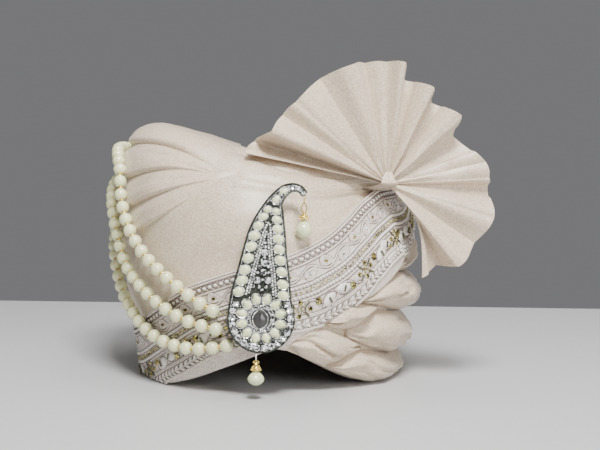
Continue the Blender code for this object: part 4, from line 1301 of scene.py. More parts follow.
@dataclass
class BorderFace:
    """The border's face as a fine table, so that stitches are laid on it in metres along and down."""

    path: BorderPath
    thickness: float = 0.0034
    pad: float = 0.0095
    width: float = 0.051
    step: float = 0.001
    rows: int = 700
    columns: int = 81

    def __post_init__(self) -> None:
        """Reads the face and walks down it at right angles from its upper edge."""
        self.t, self.c = np.linspace(0, 1, self.rows), np.linspace(0, 1, self.columns)
        along, across = np.meshgrid(self.t, self.c, indexing="ij")
        azimuth, rise = self.path.place(along, across)
        self.points = self.path.skin.lifted(azimuth, rise, self.lift(along, across))
        self.run = np.gradient(self.points, self.t, axis=0)
        self.climb = np.gradient(self.points, self.c, axis=1)
        self.normals = unit(np.cross(self.run, self.climb))
        edge = travelled(self.points[:, -1])
        self.length = float(edge[-1])
        self.walk(np.interp(np.arange(0, self.length, self.step), edge, self.t))

    def lift(self, along: Array, across: Array) -> Array:
        """The height of the border's face above the skin.

        Args:
            along: Shares of its length.
            across: Shares of its width.

        Returns:
            Heights above the skin.
        """
        edges = ramp(0, 0.02, np.minimum(across, 1 - across))
        pad = np.clip(np.minimum((along - 0.55) / 0.25, (1.03 - along) / 0.12), 0, 1)
        return 0.0010 + self.thickness * (0.45 + 0.55 * edges) + self.pad * pad * (1 - 0.6 * across)

    def read(self, table: Array, t: Array, c: Array) -> Array:
        """A table's values at shares along and across, evenly blended.

        Args:
            table: Values on the face's grid.
            t: Shares along.
            c: Shares across.

        Returns:
            The values there.
        """
        i = np.clip(np.asarray(t) * (len(self.t) - 1), 0, len(self.t) - 1.001)
        j = np.clip(np.asarray(c) * (len(self.c) - 1), 0, len(self.c) - 1.001)
        a, b = i.astype(int), j.astype(int)
        u, w = (i - a)[..., None], (j - b)[..., None]
        near = table[a, b] * (1 - w) + table[a, b + 1] * w
        return near * (1 - u) + (table[a + 1, b] * (1 - w) + table[a + 1, b + 1] * w) * u

    def walk(self, starts: Array) -> None:
        """Follows straight ways down the face from evenly spaced places of the upper edge.

        Args:
            starts: The places, as shares along the border.
        """
        t, c = starts.copy(), np.ones(len(starts))
        run, normal = self.read(self.run, t, c), self.read(self.normals, t, c)
        way = unit(np.cross(run, normal))
        ts, cs = [t.copy()], [c.copy()]
        for _ in range(int(self.width / self.step) + 6):
            run, climb = self.read(self.run, t, c), self.read(self.climb, t, c)
            a, b, d = (np.sum(x * y, axis=-1) for x, y in ((run, run), (run, climb), (climb, climb)))
            e, f = np.sum(run * way, axis=-1) * self.step, np.sum(climb * way, axis=-1) * self.step
            bottom = a * d - b * b
            t = t + (e * d - f * b) / bottom
            c = c + (a * f - b * e) / bottom
            normal = self.read(self.normals, t, c)
            way = unit(way - normal * np.sum(way * normal, axis=-1, keepdims=True))
            ts.append(t.copy())
            cs.append(c.copy())
        self.ts, self.cs = np.stack(ts, axis=1), np.stack(cs, axis=1)
        reached = np.argmax(self.cs < 0, axis=1) * self.step
        full = np.where(reached > 0, reached, self.width)
        inner = self.path.place(starts, np.zeros(len(starts)))[0] > 4
        first = full[np.argmax(inner)]
        self.stretch = np.convolve(np.pad(np.where(inner, full, first), 10, mode="edge"), np.ones(21) / 21, "valid")

    def locate(self, s: Array, v: Array) -> Tuple[Array, Array]:
        """The shares along and across of places given in metres along and down from the upper edge.

        Args:
            s: Metres along.
            v: Metres down.

        Returns:
            Shares along and across.
        """
        s, v = np.broadcast_arrays(np.asarray(s, float), np.asarray(v, float))
        i = np.clip(s / self.step, 0, len(self.ts) - 1.001)
        v = v * np.interp(i, np.arange(len(self.stretch)), self.stretch) / self.width
        j = np.clip(v / self.step, 0, self.ts.shape[1] - 1.001)
        a, b = i.astype(int), j.astype(int)
        u, w = i - a, j - b

        def blend(table: Array) -> Array:
            """Reads a table of the walk evenly blended."""
            near = table[a, b] * (1 - w) + table[a, b + 1] * w
            return near * (1 - u) + (table[a + 1, b] * (1 - w) + table[a + 1, b + 1] * w) * u

        return blend(self.ts), blend(self.cs)

    def spot(self, s: Array, v: Array, height: Array) -> Tuple[Array, Array, Array]:
        """Places above the face.

        Args:
            s: Metres along the upper edge.
            v: Metres down from it.
            height: Metres above the face.

        Returns:
            Points, normals and whether each place is on the border.
        """
        t, c = self.locate(s, v)
        normals = self.read(self.normals, t, c)
        points = self.read(self.points, t, c) + normals * np.asarray(height)[..., None]
        return points, normals, (c > 0.012) & (t > 0.002) & (t < 0.998)


@dataclass
class Stitches:
    """Collects tubes and copies of small models on the border, and makes one piece of each finish."""

    face: BorderFace

    def __post_init__(self) -> None:
        """Starts with nothing sewn."""
        self.shapes: List[Shape] = []

    def tube(self, s: Array, v: Array, radius: float, height: Array = 0.0, closed: bool = False) -> None:
        """A thread along a curve on the border, left out where it runs off.

        Args:
            s: Metres along the upper edge of each of its points.
            v: Metres down.
            radius: Its radius.
            height: Of its middle above the face, on top of its radius.
            closed: Whether it is a loop.
        """
        height = np.broadcast_to(np.asarray(height, float), np.shape(s)) + radius * 0.4
        points, normals, on = self.face.spot(s, v, height)
        points[..., 2] = np.maximum(points[..., 2], radius)
        if closed:
            if on.all():
                self.shapes.append(tube_mesh(points, normals, radius, 5, True))
            return
        edges = np.flatnonzero(np.diff(np.concatenate([[0], on.astype(int), [0]])))
        for first, last in zip(edges[::2], edges[1::2]):
            if last - first > 2:
                self.shapes.append(tube_mesh(points[first:last], normals[first:last], radius, 5, False))

    def loop(self, s: float, v: float, reach: Tuple[Array, Array], lean: float, radius: float) -> None:
        """A closed thread round a place.

        Args:
            s: Metres along the upper edge to the place.
            v: Metres down.
            reach: How far along and down from there each of its points lies before it leans.
            lean: Degrees that it leans.
            radius: Its radius.
        """
        x, y = reach
        a = math.radians(lean)
        along = s + x * math.cos(a) - y * math.sin(a)
        self.tube(along, v + x * math.sin(a) + y * math.cos(a), radius, closed=True)

    def rope(self, v: float, radius: float, twist: float) -> None:
        """Two threads twisted along the whole border.

        Args:
            v: Metres down from the upper edge.
            radius: Of each thread.
            twist: The length of one turn.
        """
        s = np.arange(0.0, self.face.length, twist / 7)
        for phase in (0, np.pi):
            angle = 2 * np.pi * s / twist + phase
            self.tube(s, v + np.cos(angle) * radius * 0.95, radius, radius * (0.8 + 0.95 * np.sin(angle)))

    def copies(self, model: Mesh, places: Sequence[Tuple[float, float, float, float]]) -> None:
        """Copies of a model on the border.

        Args:
            model: What is copied, X along, Z out.
            places: Metres along and down, height and turn in degrees of each copy.
        """
        s, v, height, turn = np.array(places, dtype=float).T
        points, normals, on = self.face.spot(s, v, height)
        ahead = self.face.spot(s + 0.0005, v, height)[0] - self.face.spot(s - 0.0005, v, height)[0]
        co = mesh_points(model)
        faces = [tuple(face.vertices) for face in model.polygons]
        for k in np.flatnonzero(on):
            z = normals[k]
            x = ahead[k] - z * np.dot(ahead[k], z)
            x /= max(np.linalg.norm(x), 1e-12)
            y = np.cross(z, x)
            a = math.radians(turn[k])
            x, y = x * math.cos(a) + y * math.sin(a), y * math.cos(a) - x * math.sin(a)
            placed = points[k] + co[:, :1] * x + co[:, 1:2] * y + co[:, 2:] * z
            placed[:, 2] -= min(0.0, placed[:, 2].min())
            self.shapes.append((placed, faces))

    def make(self, name: str, finish: Finish, angle: float = 60) -> None:
        """Makes one piece of all that was collected, and forgets it.

        Args:
            name: Its name.
            finish: What it is made of.
            angle: Edges sharper than this stay sharp.
        """
        link_piece(name, new_mesh(name, *joined(self.shapes)), finish, angle)
        self.shapes = []


def tube_faces(rings: int, sides: int, closed: bool) -> Faces:
    """The faces of a tube, whose ends are closed unless its last ring joins its first.

    Args:
        rings: How many rings.
        sides: Points in a ring.
        closed: Whether the last ring joins the first.

    Returns:
        The faces.
    """
    i, j = np.meshgrid(np.arange(rings if closed else rings - 1), np.arange(sides), indexing="ij")
    after, beside = (i + 1) % rings, (j + 1) % sides
    quads = np.stack([i * sides + j, i * sides + beside, after * sides + beside, after * sides + j], axis=-1)
    faces = [tuple(face) for face in quads.reshape(-1, 4).tolist()]
    if not closed:
        faces += [tuple(reversed(range(sides))), tuple(range((rings - 1) * sides, rings * sides))]
    return faces


def tube_mesh(points: Array, normals: Array, radius: float, sides: int, closed: bool) -> Shape:
    """A round tube along points.

    Args:
        points: Its middle line.
        normals: A way across it at each point.
        radius: Its radius.
        sides: How many sides it has.
        closed: Whether its end meets its start.

    Returns:
        Its points and faces.
    """
    if closed:
        ahead = np.roll(points, -1, axis=0) - np.roll(points, 1, axis=0)
    else:
        ahead = np.gradient(points, axis=0)
    ahead = unit(ahead)
    aside = unit(np.cross(ahead, normals))
    out = np.cross(aside, ahead)
    angle = np.arange(sides) * 2 * np.pi / sides
    ring = aside[:, None] * np.cos(angle)[None, :, None] + out[:, None] * np.sin(angle)[None, :, None]
    return (points[:, None] + ring * radius).reshape(-1, 3), tube_faces(len(points), sides, closed)


@dataclass
class EmbroideredBorder:
    """The wide border: a net ground with cords, loops, a vine, leaves, flowers and beads sewn on.

    Rows are metres down from the upper edge.
    """

    path: BorderPath
    ropes: Tuple[Tuple[float, float, float], ...] = (
        (0.0008, 0.00042, 0.0020), (0.0029, 0.00034, 0.0017), (0.0421, 0.00034, 0.0017), (0.0500, 0.00048, 0.0022),
    )
    cords: Tuple[float, ...] = (0.0093, 0.0200, 0.0310, 0.0410)
    cord_radius: float = 0.00045
    lines: Tuple[float, ...] = (
        0.0018, 0.0039, 0.0083, 0.0102, 0.0208, 0.0236, 0.0270, 0.0298, 0.0320, 0.0400, 0.0430, 0.0492,
    )
    line_radius: float = 0.00027
    bead_rows: Tuple[float, ...] = (0.0222, 0.0284)
    bead_pitch: float = 0.0023
    loop_row: float = 0.0060
    loop_pitch: float = 0.0042
    wheat_rows: Tuple[Tuple[float, float], ...] = ((0.0446, 38), (0.0477, -38))
    seed_rows: Tuple[float, float] = (0.0251, 0.0261)
    seed_pitch: float = 0.00145
    vine_wave: float = 0.026
    vine_row: float = 0.0153
    vine_swing: float = 0.0031
    flower_wave: float = 0.046
    flower_row: float = 0.0362
    flower_swing: float = 0.0040
    stem_radius: float = 0.00050

    def __post_init__(self) -> None:
        """Reads the border's face."""
        self.face = BorderFace(self.path)
        self.stitches = Stitches(self.face)

    def build(self) -> None:
        """Builds the ground and all that is sewn on it."""
        along, across = np.meshgrid(np.linspace(0, 1, 320), np.linspace(0, 1, 60), indexing="ij")
        azimuth, rise = self.path.place(along, across)
        front = self.path.skin.lifted(azimuth, rise, self.face.lift(along, across))
        back = self.path.skin.lifted(azimuth, rise, np.full(along.shape, 0.0002))
        piece = wall_between("border_ground", front, back, Finish.NET, 50)
        stand_for(piece, "embroidered_net", "embroidered_border")
        self.sew_cords()
        self.sew_vine()
        self.sew_flowers()
        self.sew_beads()

    def sew_cords(self) -> None:
        """The braids of both edges, the beaded ropes along the middle and the fine double lines, these in dark thread
        that also paints the shade in the grooves beside the raised work.
        """
        sew, length = self.stitches, self.face.length
        for row in self.ropes:
            sew.rope(*row)
        s = np.arange(0, length, 0.0018)
        for v in self.cords:
            sew.tube(s, np.full(s.shape, v), self.cord_radius)
        sew.make("border_edge_braids", Finish.THREAD)
        middles = np.arange(0.002, length, self.bead_pitch)
        sew.copies(model_grain(0.0021, 0.0021, 0.0020), [(s, v, 0.0004, 0) for v in self.bead_rows for s in middles])
        sew.make("border_bead_ropes", Finish.WHITE_THREAD)
        loops = np.arange(0.003, length, self.loop_pitch)
        sew.copies(model_grain(0.0026, 0.0024, 0.0016), [(middle, self.loop_row, 0.0003, 0) for middle in loops])
        sew.make("border_loops", Finish.WHITE_THREAD)
        # Dark lines, loop outlines and wheat grains beside the white work: dark thread that also paints the groove
        # shade.
        for v in self.lines:
            sew.tube(s, np.full(s.shape, v), self.line_radius)
        turn = once_round(18)
        for middle in loops:
            sew.loop(middle, self.loop_row, (0.0019 * np.cos(turn), 0.0018 * np.sin(turn)), 0, 0.00034)
        rows = [(middle, v, lean) for middle in loops for v, lean in self.wheat_rows]
        sew.copies(model_grain(0.0034, 0.0009, 0.0011), [(s + 0.0014, v, 0.0003, lean) for s, v, lean in rows])
        sew.make("border_outlines", Finish.DARK_THREAD_AND_GROOVE_SHADE)
        sew.copies(model_grain(0.0042, 0.0017, 0.0018), [(s - 0.0006, v, 0.0003, lean) for s, v, lean in rows])
        sew.make("border_wheat_braid", Finish.WHITE_THREAD)

    def stem(self, row: float, swing: float, wave: float, offsets: Sequence[float], radius: float) -> None:
        """Sews a waving stem along the border, or lines beside it.

        Args:
            row: The row that it swings about.
            swing: How far it swings.
            wave: The length of one wave.
            offsets: How far below the stem each thread runs.
            radius: Of each thread.
        """
        s = np.arange(0.004, self.face.length - 0.004, 0.0009)
        for offset in offsets:
            self.stitches.tube(s, row + swing * np.sin(2 * np.pi * s / wave) + offset, radius)

    def sew_vine(self) -> None:
        """The upper field: a waving vine with scrolled leaves, each round a small oval stone."""
        sew, turn = self.stitches, once_round(30)
        vine = (self.vine_row, self.vine_swing, self.vine_wave)
        self.stem(*vine, (0.0,), self.stem_radius)
        stones = []
        for k in range(int(self.face.length / self.vine_wave * 2)):
            middle = (k + 0.5) * self.vine_wave / 2
            side = 1 if k % 2 == 0 else -1
            v = self.vine_row - side * 0.0012
            for reach in (1.0, 0.72):
                x, y = reach * 0.0048 * np.cos(turn), reach * 0.0027 * np.sin(turn) * (1 - 0.55 * np.cos(turn))
                sew.loop(middle, v, (x, y), 24 * side, 0.00042)
            stones.append((middle - 0.0008, v, 0.0004, -24 * side))
            curl = np.linspace(0, 2.2 * np.pi, 22)
            reach = 0.0017 * (1 - curl / 9)
            x, y = 0.0066 + reach * np.cos(curl), side * 0.0021 + reach * np.sin(curl)
            sew.tube(middle + x, v + y, 0.00036)
        sew.make("border_vine", Finish.THREAD)
        # Dark lines beside the stem and round the stones: dark thread that also paints the groove shade.
        self.stem(*vine, (-0.00085, 0.00085), 0.00026)
        outline = (0.0055 * np.cos(turn), 0.0032 * np.sin(turn) * (1 - 0.55 * np.cos(turn)))
        for middle, v, _, lean in stones:
            sew.loop(middle + 0.0008, v, outline, -lean, 0.00028)
        sew.make("border_vine_outlines", Finish.DARK_THREAD_AND_GROOVE_SHADE)
        sew.copies(model_grain(0.0034, 0.0019, 0.0016), stones[::2])
        sew.make("border_dark_stones", Finish.BRONZE)
        sew.copies(model_grain(0.0034, 0.0019, 0.0016), stones[1::2])
        sew.make("border_pale_stones", Finish.CRYSTAL)

    def sew_flowers(self) -> None:
        """The lower field: flowers of sequins and bugle beads between pairs of satin leaves."""
        sew, turn, row = self.stitches, once_round(40), self.flower_row
        vine = (row, self.flower_swing, self.flower_wave / 2)
        self.stem(*vine, (0.0,), self.stem_radius)
        sequins, bugles, big, leaves, knots = [], [], [], [], []
        for k in range(int(self.face.length / self.flower_wave) + 1):
            s = k * self.flower_wave + 0.010
            for reach in (0.0066, 0.0036):
                scallop = reach * (1 + 0.10 * np.cos(6 * turn))
                sew.loop(s, row, (scallop * np.cos(turn), scallop * 0.78 * np.sin(turn)), 0, 0.00042)
            for j in range(8):
                a = 2 * math.pi * (j + 0.3) / 8
                x, y = math.cos(a), math.sin(a)
                if j % 2:
                    bugles.append((s + 0.0054 * x, row + 0.0046 * y, 0.0006, -math.degrees(a)))
                else:
                    sequins.append((s + 0.0054 * x, row + 0.0044 * y, 0.0004, 0))
            for count, reach in ((6, 0.0013), (12, 0.0029)):
                ring = 2 * math.pi * np.arange(count) / count
                knots += [(s + reach * math.cos(a), row + 0.9 * reach * math.sin(a), 0.0004, 0) for a in ring]
            big += [(s - 0.0112, row + 0.0014, 0.0004, 0), (s + 0.0112, row - 0.0018, 0.0004, 0)]
            for off, lean, v in ((0.0178, 24, row + 0.0008), (0.0292, -20, row - 0.0010)):
                leaves.append((s + off, v, 0.0003, lean))
                bugles.append((s + off, v, 0.0022, lean + 68))
        sew.make("border_flower_vine", Finish.THREAD)
        # Dark lines beside the stem and round the leaves: dark thread that also paints the groove shade.
        self.stem(*vine, (-0.0008, 0.0008), 0.00028)
        outline = (0.0064 * np.cos(turn), 0.0040 * np.sin(turn) * (1 - 0.4 * np.cos(turn) ** 2))
        for along, v, _, lean in leaves:
            sew.loop(along, v, outline, -lean, 0.00030)
        sew.make("border_flower_outlines", Finish.DARK_THREAD_AND_GROOVE_SHADE)
        sew.copies(self.model_satin_leaf(), leaves)
        sew.make("border_satin_leaves", Finish.WHITE_THREAD)
        sew.copies(self.model_sequin(0.0017), sequins)
        sew.copies(self.model_sequin(0.0026), big)
        sew.make("border_sequins", Finish.BRONZE, 20)
        sew.copies(self.model_bugle(), bugles)
        sew.make("border_bugles", Finish.BUGLE)
        sew.copies(model_grain(0.0013, 0.0013, 0.0013), knots)
        sew.make("border_knots", Finish.SEED_GOLD)

    def sew_beads(self) -> None:
        """Two rows of gold seed beads between the ropes."""
        middles = np.arange(0.002, self.face.length, self.seed_pitch)
        shake = noise(middles * 900, middles * 0, 91) * 0.0003
        upper, lower = self.seed_rows
        places = [(s, upper + d * 2, 0.0003, 0) for s, d in zip(middles, shake)]
        places += [(s + 0.0007, lower + d * 2, 0.0002, 0) for s, d in zip(middles[::2], -shake)]
        self.stitches.copies(model_grain(0.0013, 0.0013, 0.0012), places)
        self.stitches.make("border_seed_beads", Finish.SEED_GOLD)

    def model_bugle(self) -> Mesh:
        """A short cut tube of dark glass.

        Returns:
            Its mesh.
        """
        start_model()
        bpy.ops.mesh.primitive_cylinder_add(vertices=6, radius=0.00072, depth=0.0044, rotation=(0, math.pi / 2, 0))
        bpy.ops.object.transform_apply(location=False, rotation=True, scale=False)
        return take_mesh(bpy.context.object)

    def model_sequin(self, radius: float) -> Mesh:
        """A cupped sequin with a raised middle.

        Args:
            radius: Its radius.

        Returns:
            Its mesh.
        """
        start_model()
        bpy.ops.mesh.primitive_cylinder_add(vertices=10, radius=radius, depth=0.0005)
        piece = bpy.context.object
        with editing(piece, lambda co: co.z > 0):
            bpy.ops.mesh.select_mode(type="FACE")
            bpy.ops.mesh.inset(thickness=radius * 0.45, depth=0.0005)
            bpy.ops.mesh.inset(thickness=radius * 0.25, depth=-0.0003)
        return take_mesh(piece)

    def model_satin_leaf(self) -> Mesh:
        """A pointed leaf of close satin stitches, ridged from side to side.

        Returns:
            Its mesh.
        """
        rows, columns = 30, 7
        x = np.linspace(-1, 1, rows)
        y = np.linspace(-1, 1, columns)
        along, across = np.meshgrid(x, y, indexing="ij")
        half = 0.0034 * (1 - np.abs(along) ** 2.2) ** 0.8 + 0.00005
        rise = (1 - across**2) * np.sqrt(np.clip(1 - along**2, 0, 1)) * 0.0013
        ridge = 0.00012 * np.sin(along * 40 + across * 3) * (1 - across**2)
        top = np.stack([along * 0.0057, across * half, rise + ridge], axis=-1)
        low = np.stack([along * 0.0057, across * half * 0.98, np.full(rise.shape, -0.0003)], axis=-1)
        count = rows * columns
        faces = grid_faces(rows, columns) + grid_faces(rows, columns, count, flip=True)
        edge = [(i, 0) for i in range(rows)] + [(rows - 1, j) for j in range(1, columns)]
        edge += [(i, columns - 1) for i in range(rows - 2, -1, -1)] + [(0, j) for j in range(columns - 2, 0, -1)]
        ring = [i * columns + j for i, j in edge]
        faces += [(a, a + count, b + count, b) for a, b in zip(ring, ring[1:] + ring[:1])]
        return new_mesh("satin_leaf", np.concatenate([top.reshape(-1, 3), low.reshape(-1, 3)]), faces)


@dataclass
class PearlStrands:
    """The three strings of pearls with their small gold spacers."""

    skin: Skin
    radius: float = 0.0046
    pitch: float = 0.0104
    lift: float = 0.0098

    def build(self) -> None:
        """Builds each strand's pearls and spacers."""
        for number, route in enumerate(STRANDS, 1):
            spots, ways, normals = self.run(route)
            pearl = self.model_pearl()
            spacer = self.model_spacer()
            places = [place_on(spot, way, out) for spot, way, out in zip(spots, ways, normals)]
            piece = link_copies(f"pearls_{number}", pearl, places, Finish.PEARL, 180)
            stand_for(piece, "ivory_pearl", f"pearl_strand_{number}")
            middles = [(a + b) / 2 for a, b in zip(spots, spots[1:])]
            places = [place_on(spot, b - a, out) for spot, a, b, out in zip(middles, spots, spots[1:], normals)]
            link_copies(f"gold_spacers_{number}", spacer, places, Finish.GOLD, 60)

    def run(self, route: Sequence[RoutePoint]) -> Tuple[List[Vector], List[Vector], List[Vector]]:
        """Even places along a strand.

        Args:
            route: Its chosen points.

        Returns:
            The places, the ways along the thread and the ways out from the skin.
        """
        rows = [(k, *point) for k, point in enumerate(route)]
        table = smooth_table(rows, np.linspace(0, len(route) - 1, 600))
        points = self.skin.lifted(table[:, 0], table[:, 1], np.full(600, self.lift))
        normals = self.skin.normal(table[:, 0], table[:, 1])
        gone = travelled(points)
        count = int((gone[-1] - 2 * self.radius) / self.pitch) + 1
        wanted = self.radius + np.arange(count) * self.pitch
        spots = np.stack([np.interp(wanted, gone, points[:, k]) for k in range(3)], axis=-1)
        outs = np.stack([np.interp(wanted, gone, normals[:, k]) for k in range(3)], axis=-1)
        ways = np.gradient(spots, axis=0)
        return [Vector(p) for p in spots], [Vector(w) for w in ways], [Vector(o) for o in outs]

    def model_pearl(self) -> Mesh:
        """One round pearl with its drilled ends drawn in.

        Returns:
            Its mesh.
        """
        start_model()
        bpy.ops.mesh.primitive_uv_sphere_add(segments=24, ring_count=14, radius=self.radius)
        piece = bpy.context.object
        with editing(piece, lambda co: abs(co.z) > self.radius * 0.97):
            stretch(0.7, 0.7, 0.96)
        return take_mesh(piece)

    def model_spacer(self) -> Mesh:
        """One small gold spacer ring.

        Returns:
            Its mesh.
        """
        start_model()
        bpy.ops.mesh.primitive_cylinder_add(vertices=12, radius=0.00175, depth=0.0016)
        piece = bpy.context.object
        bevel = piece.modifiers.new("rounding", "BEVEL")
        bevel.width, bevel.segments, bevel.limit_method = 0.0005, 2, "ANGLE"
        bpy.ops.object.modifier_apply(modifier="rounding")
        return take_mesh(piece)


def start_model() -> None:
    """Leaves edit mode and deselects everything before a new primitive."""
    if bpy.context.object and bpy.context.object.mode != "OBJECT":
        bpy.ops.object.mode_set(mode="OBJECT")
    bpy.ops.object.select_all(action="DESELECT")


@dataclass(frozen=True)
class Pin:
    """The jewelled paisley pin: its plate's place and outline, and everything set on it."""

    skin: Skin
    length: float = 0.0865
    bowl: float = 0.0215
    plate: float = 0.0018
    lean: float = 8.0
    azimuth: float = -1.86
    rise: float = 0.1834
    standoff: float = 0.0118
    seat: float = 0.0003
    leaf_stone: Tuple[float, float] = (0.0076, 0.0061)
    flank_shrink: float = 0.26
    leaf_tilt: float = 20.0
    flank_stations: Tuple[float, float] = (1.25, 5.20)
    stone_height: float = 0.0021
    crystal_radius: float = 0.0021
    petal_ring: float = 0.0132
    petal: Tuple[float, float] = (0.0074, 0.0057)
    hook_stone: Tuple[float, float] = (0.0066, 0.0049)
    heart: Tuple[float, float, float] = (0.0120, 0.0096, 0.0030)
    spine: Tuple[Tuple[float, float, float], ...] = (
        (-0.003, 0.000, 0.249), (-0.006, 0.150, 0.225), (0.008, 0.318, 0.197), (0.018, 0.497, 0.162),
        (0.036, 0.659, 0.133), (0.064, 0.798, 0.090), (0.092, 0.890, 0.052), (0.156, 0.969, 0.036),
        (0.220, 0.997, 0.026), (0.277, 0.986, 0.021), (0.312, 0.948, 0.018),
    )
    middle_crystals: Tuple[Tuple[float, float], ...] = (
        (0.018, 0.50), (0.018, 0.42), (0.010, 0.35), (-0.036, 0.29), (0.046, 0.29),
    )
    small_crystals_mm: Tuple[Tuple[float, float], ...] = (
        (0.4, 25.4), (-2.7, 30.2), (4.4, 30.2), (-1.5, 33.8), (3.9, 34.0), (1.4, 39.9), (1.8, 47.0), (1.9, 49.6),
        (-5.6, 21.2), (-1.8, 21.0), (2.6, 21.0), (6.4, 21.2), (0.4, 18.6), (3.8, 38.0), (-0.4, 38.0),
    )

    def frame(self) -> Matrix:
        """The pin's own axes: across, up its lean and out to the front, from the middle of its bowl.

        Returns:
            The placing of these axes in the world.
        """
        lean = math.radians(self.lean)
        across, up = Vector((1, 0, 0)), Vector((0, math.sin(lean), math.cos(lean)))
        base = self.skin.lifted(np.array([self.azimuth]), np.array([self.rise]), np.array([self.standoff]))[0]
        return Matrix.Translation(Vector(base)) @ Matrix((across, up, across.cross(up))).transposed().to_4x4()

    def row(self, station: Array) -> Array:
        """Across, up and half width at stations counted along the spine."""
        rows = [(k, *row) for k, row in enumerate(self.spine)]
        return smooth_table(rows, station) * self.length

    def flank(self, station: Array, side: float, inset: float) -> Array:
        """Points of the face along one side, side -1 or 1 being its edges.

        Args:
            station: Stations along the spine.
            side: -1 to 1, from edge to edge.
            inset: How far in from the edge.

        Returns:
            Points of the face.
        """
        station = np.atleast_1d(np.asarray(station, float))
        row = self.row(station)
        run = unit(self.row(station + 0.05)[:, :2] - self.row(station - 0.05)[:, :2])
        aside = np.stack([run[:, 1], -run[:, 0]], axis=-1)
        return row[:, :2] + aside * side * (row[:, 2] - inset)[:, None]

    def outline(self, inset: float, points: int = 420) -> Array:
        """Evenly spaced points along the edge, drawn in by an inset.

        Args:
            inset: How far in from the edge.
            points: How many.

        Returns:
            Points of the face.
        """
        angle = np.radians(np.linspace(180, 360, 60))
        centre = self.spine[0][0] * self.length
        bowl = np.stack([centre + (self.bowl - inset) * np.cos(angle), (self.bowl - inset) * np.sin(angle)], axis=-1)
        stations = np.linspace(0.25, len(self.spine) - 1, 150)
        path = np.concatenate([bowl, self.flank(stations, 1, inset), self.flank(stations[::-1], -1, inset), bowl[:1]])
        gone = travelled(path)
        at = np.linspace(0, gone[-1], points, endpoint=False)
        return np.stack([np.interp(at, gone, path[:, k]) for k in (0, 1)], axis=-1)

    def build(self) -> None:
        """Builds the plate's finish, its wires, stones, crystals, chains and drops."""
        for slot in bpy.data.objects["pin_plate"].material_slots:
            slot.material = WARDROBE.get(Finish.DARK_SILVER)
        self.build_wires()
        self.build_chains()
        self.build_grains()
        self.build_baguettes()
        self.build_stones()
        self.build_crystals()
        Pendants(self).build()

    def at(self, x: float, y: float, height: float) -> Matrix:
        """A place over the plate's face, in the world."""
        return self.frame() @ Matrix.Translation((float(x), float(y), height))

    def wire(self, path: Array, height: float, radius: float, sides: int = 6) -> Shape:
        """A closed round wire over the plate along points of its face."""
        points = np.concatenate([path, np.full((len(path), 1), height)], axis=1)
        return tube_mesh(points, np.tile([0.0, 0.0, 1.0], (len(path), 1)), radius, sides, True)

    def piece(self, name: str, parts: Sequence[Shape], finish: Finish) -> None:
        """One piece of several meshes given in the pin's own axes.

        Args:
            name: Its name.
            parts: Their points and faces.
            finish: What it is made of.
        """
        mesh = new_mesh(name, *joined(parts))
        mesh.transform(self.frame())
        link_piece(name, mesh, finish)

    def build_wires(self) -> None:
        """The twisted wire along the edge and the plain wires inside it."""
        edge = self.outline(-0.0002, 1500)
        inner = unit(self.outline(0.0002, 1500) - edge)
        turn = np.linspace(0, 2 * np.pi * 120, len(edge), endpoint=False)
        strands = []
        for phase in (0, np.pi):
            flat = edge + inner * (np.cos(turn + phase) * 0.00042)[:, None]
            points = np.concatenate([flat, (0.0004 + 0.00042 * np.sin(turn + phase))[:, None]], axis=1)
            strands.append(tube_mesh(points, np.tile([0.0, 0.0, 1.0], (len(points), 1)), 0.00042, 5, True))
        self.piece("pin_twisted_edge", strands, Finish.DARK_SILVER)
        ring = once_round(80)
        circle = np.stack([np.cos(ring), np.sin(ring)], axis=-1)
        wires = [self.wire(self.outline(0.0008, 500), 0.0005, 0.00025)]
        wires += [self.wire(circle * radius + [-0.0004, 0], 0.0004, 0.00030) for radius in (0.0069, 0.0090)]
        self.piece("pin_inner_wires", wires, Finish.SILVER)

    def build_chains(self) -> None:
        """The ball chains inside the flanks."""
        ball = model_ball(7, 5, 0.00092)
        stations = np.linspace(1.15, 5.0, 300)
        spots = []
        for side in (-1, 1):
            for inset, first in ((0.0093, 0.0005), (0.0110, 0.0013)):
                keep = self.row(stations)[:, 2] - inset > 0.0005
                path = self.flank(stations[keep], side, inset)
                gone = travelled(path)
                at = np.arange(first, gone[-1], 0.0018)
                spots += [(np.interp(d, gone, path[:, 0]), np.interp(d, gone, path[:, 1])) for d in at]
        link_copies("pin_ball_chains", ball, [self.at(x, y, 0.0006) for x, y in spots], Finish.SILVER, 180)

    def build_grains(self) -> None:
        """The small grains between the stones of the flanks and of the bowl."""
        start, end = self.flank_stations
        between = []
        for side in (-1, 1):
            for k in range(9):
                station = start + (end - start) * (k + 0.5) / 8
                between += [self.flank(station, side, inset)[0] for inset in (0.0010, 0.0076)]
        for k in range(12):
            a = 2 * math.pi * k / 12
            between += [(reach * math.cos(a), reach * math.sin(a)) for reach in (0.0106, 0.0158)]
        places = [self.at(x, y, 0.0003) for x, y in between]
        link_copies("pin_grains", model_ball(6, 4, 0.00055), places, Finish.SILVER, 180)

    def build_baguettes(self) -> None:
        """The ring of stick-cut crystals round the heart."""
        start_model()
        bpy.ops.mesh.primitive_cube_add(size=1.0)
        with editing(bpy.context.object, everywhere):
            stretch(0.0015, 0.00095, 0.0012)
            bpy.ops.mesh.bevel(offset=0.0002, segments=1)
        stick = take_mesh(bpy.context.object)
        out = Matrix.Translation((0.0079, 0, 0))
        turns = np.arange(36) * 2 * math.pi / 36
        places = [self.at(-0.0004, 0, 0.0006) @ Matrix.Rotation(a, 4, "Z") @ out for a in turns]
        piece = link_copies("pin_baguettes", stick, places, Finish.CRYSTAL, 20)

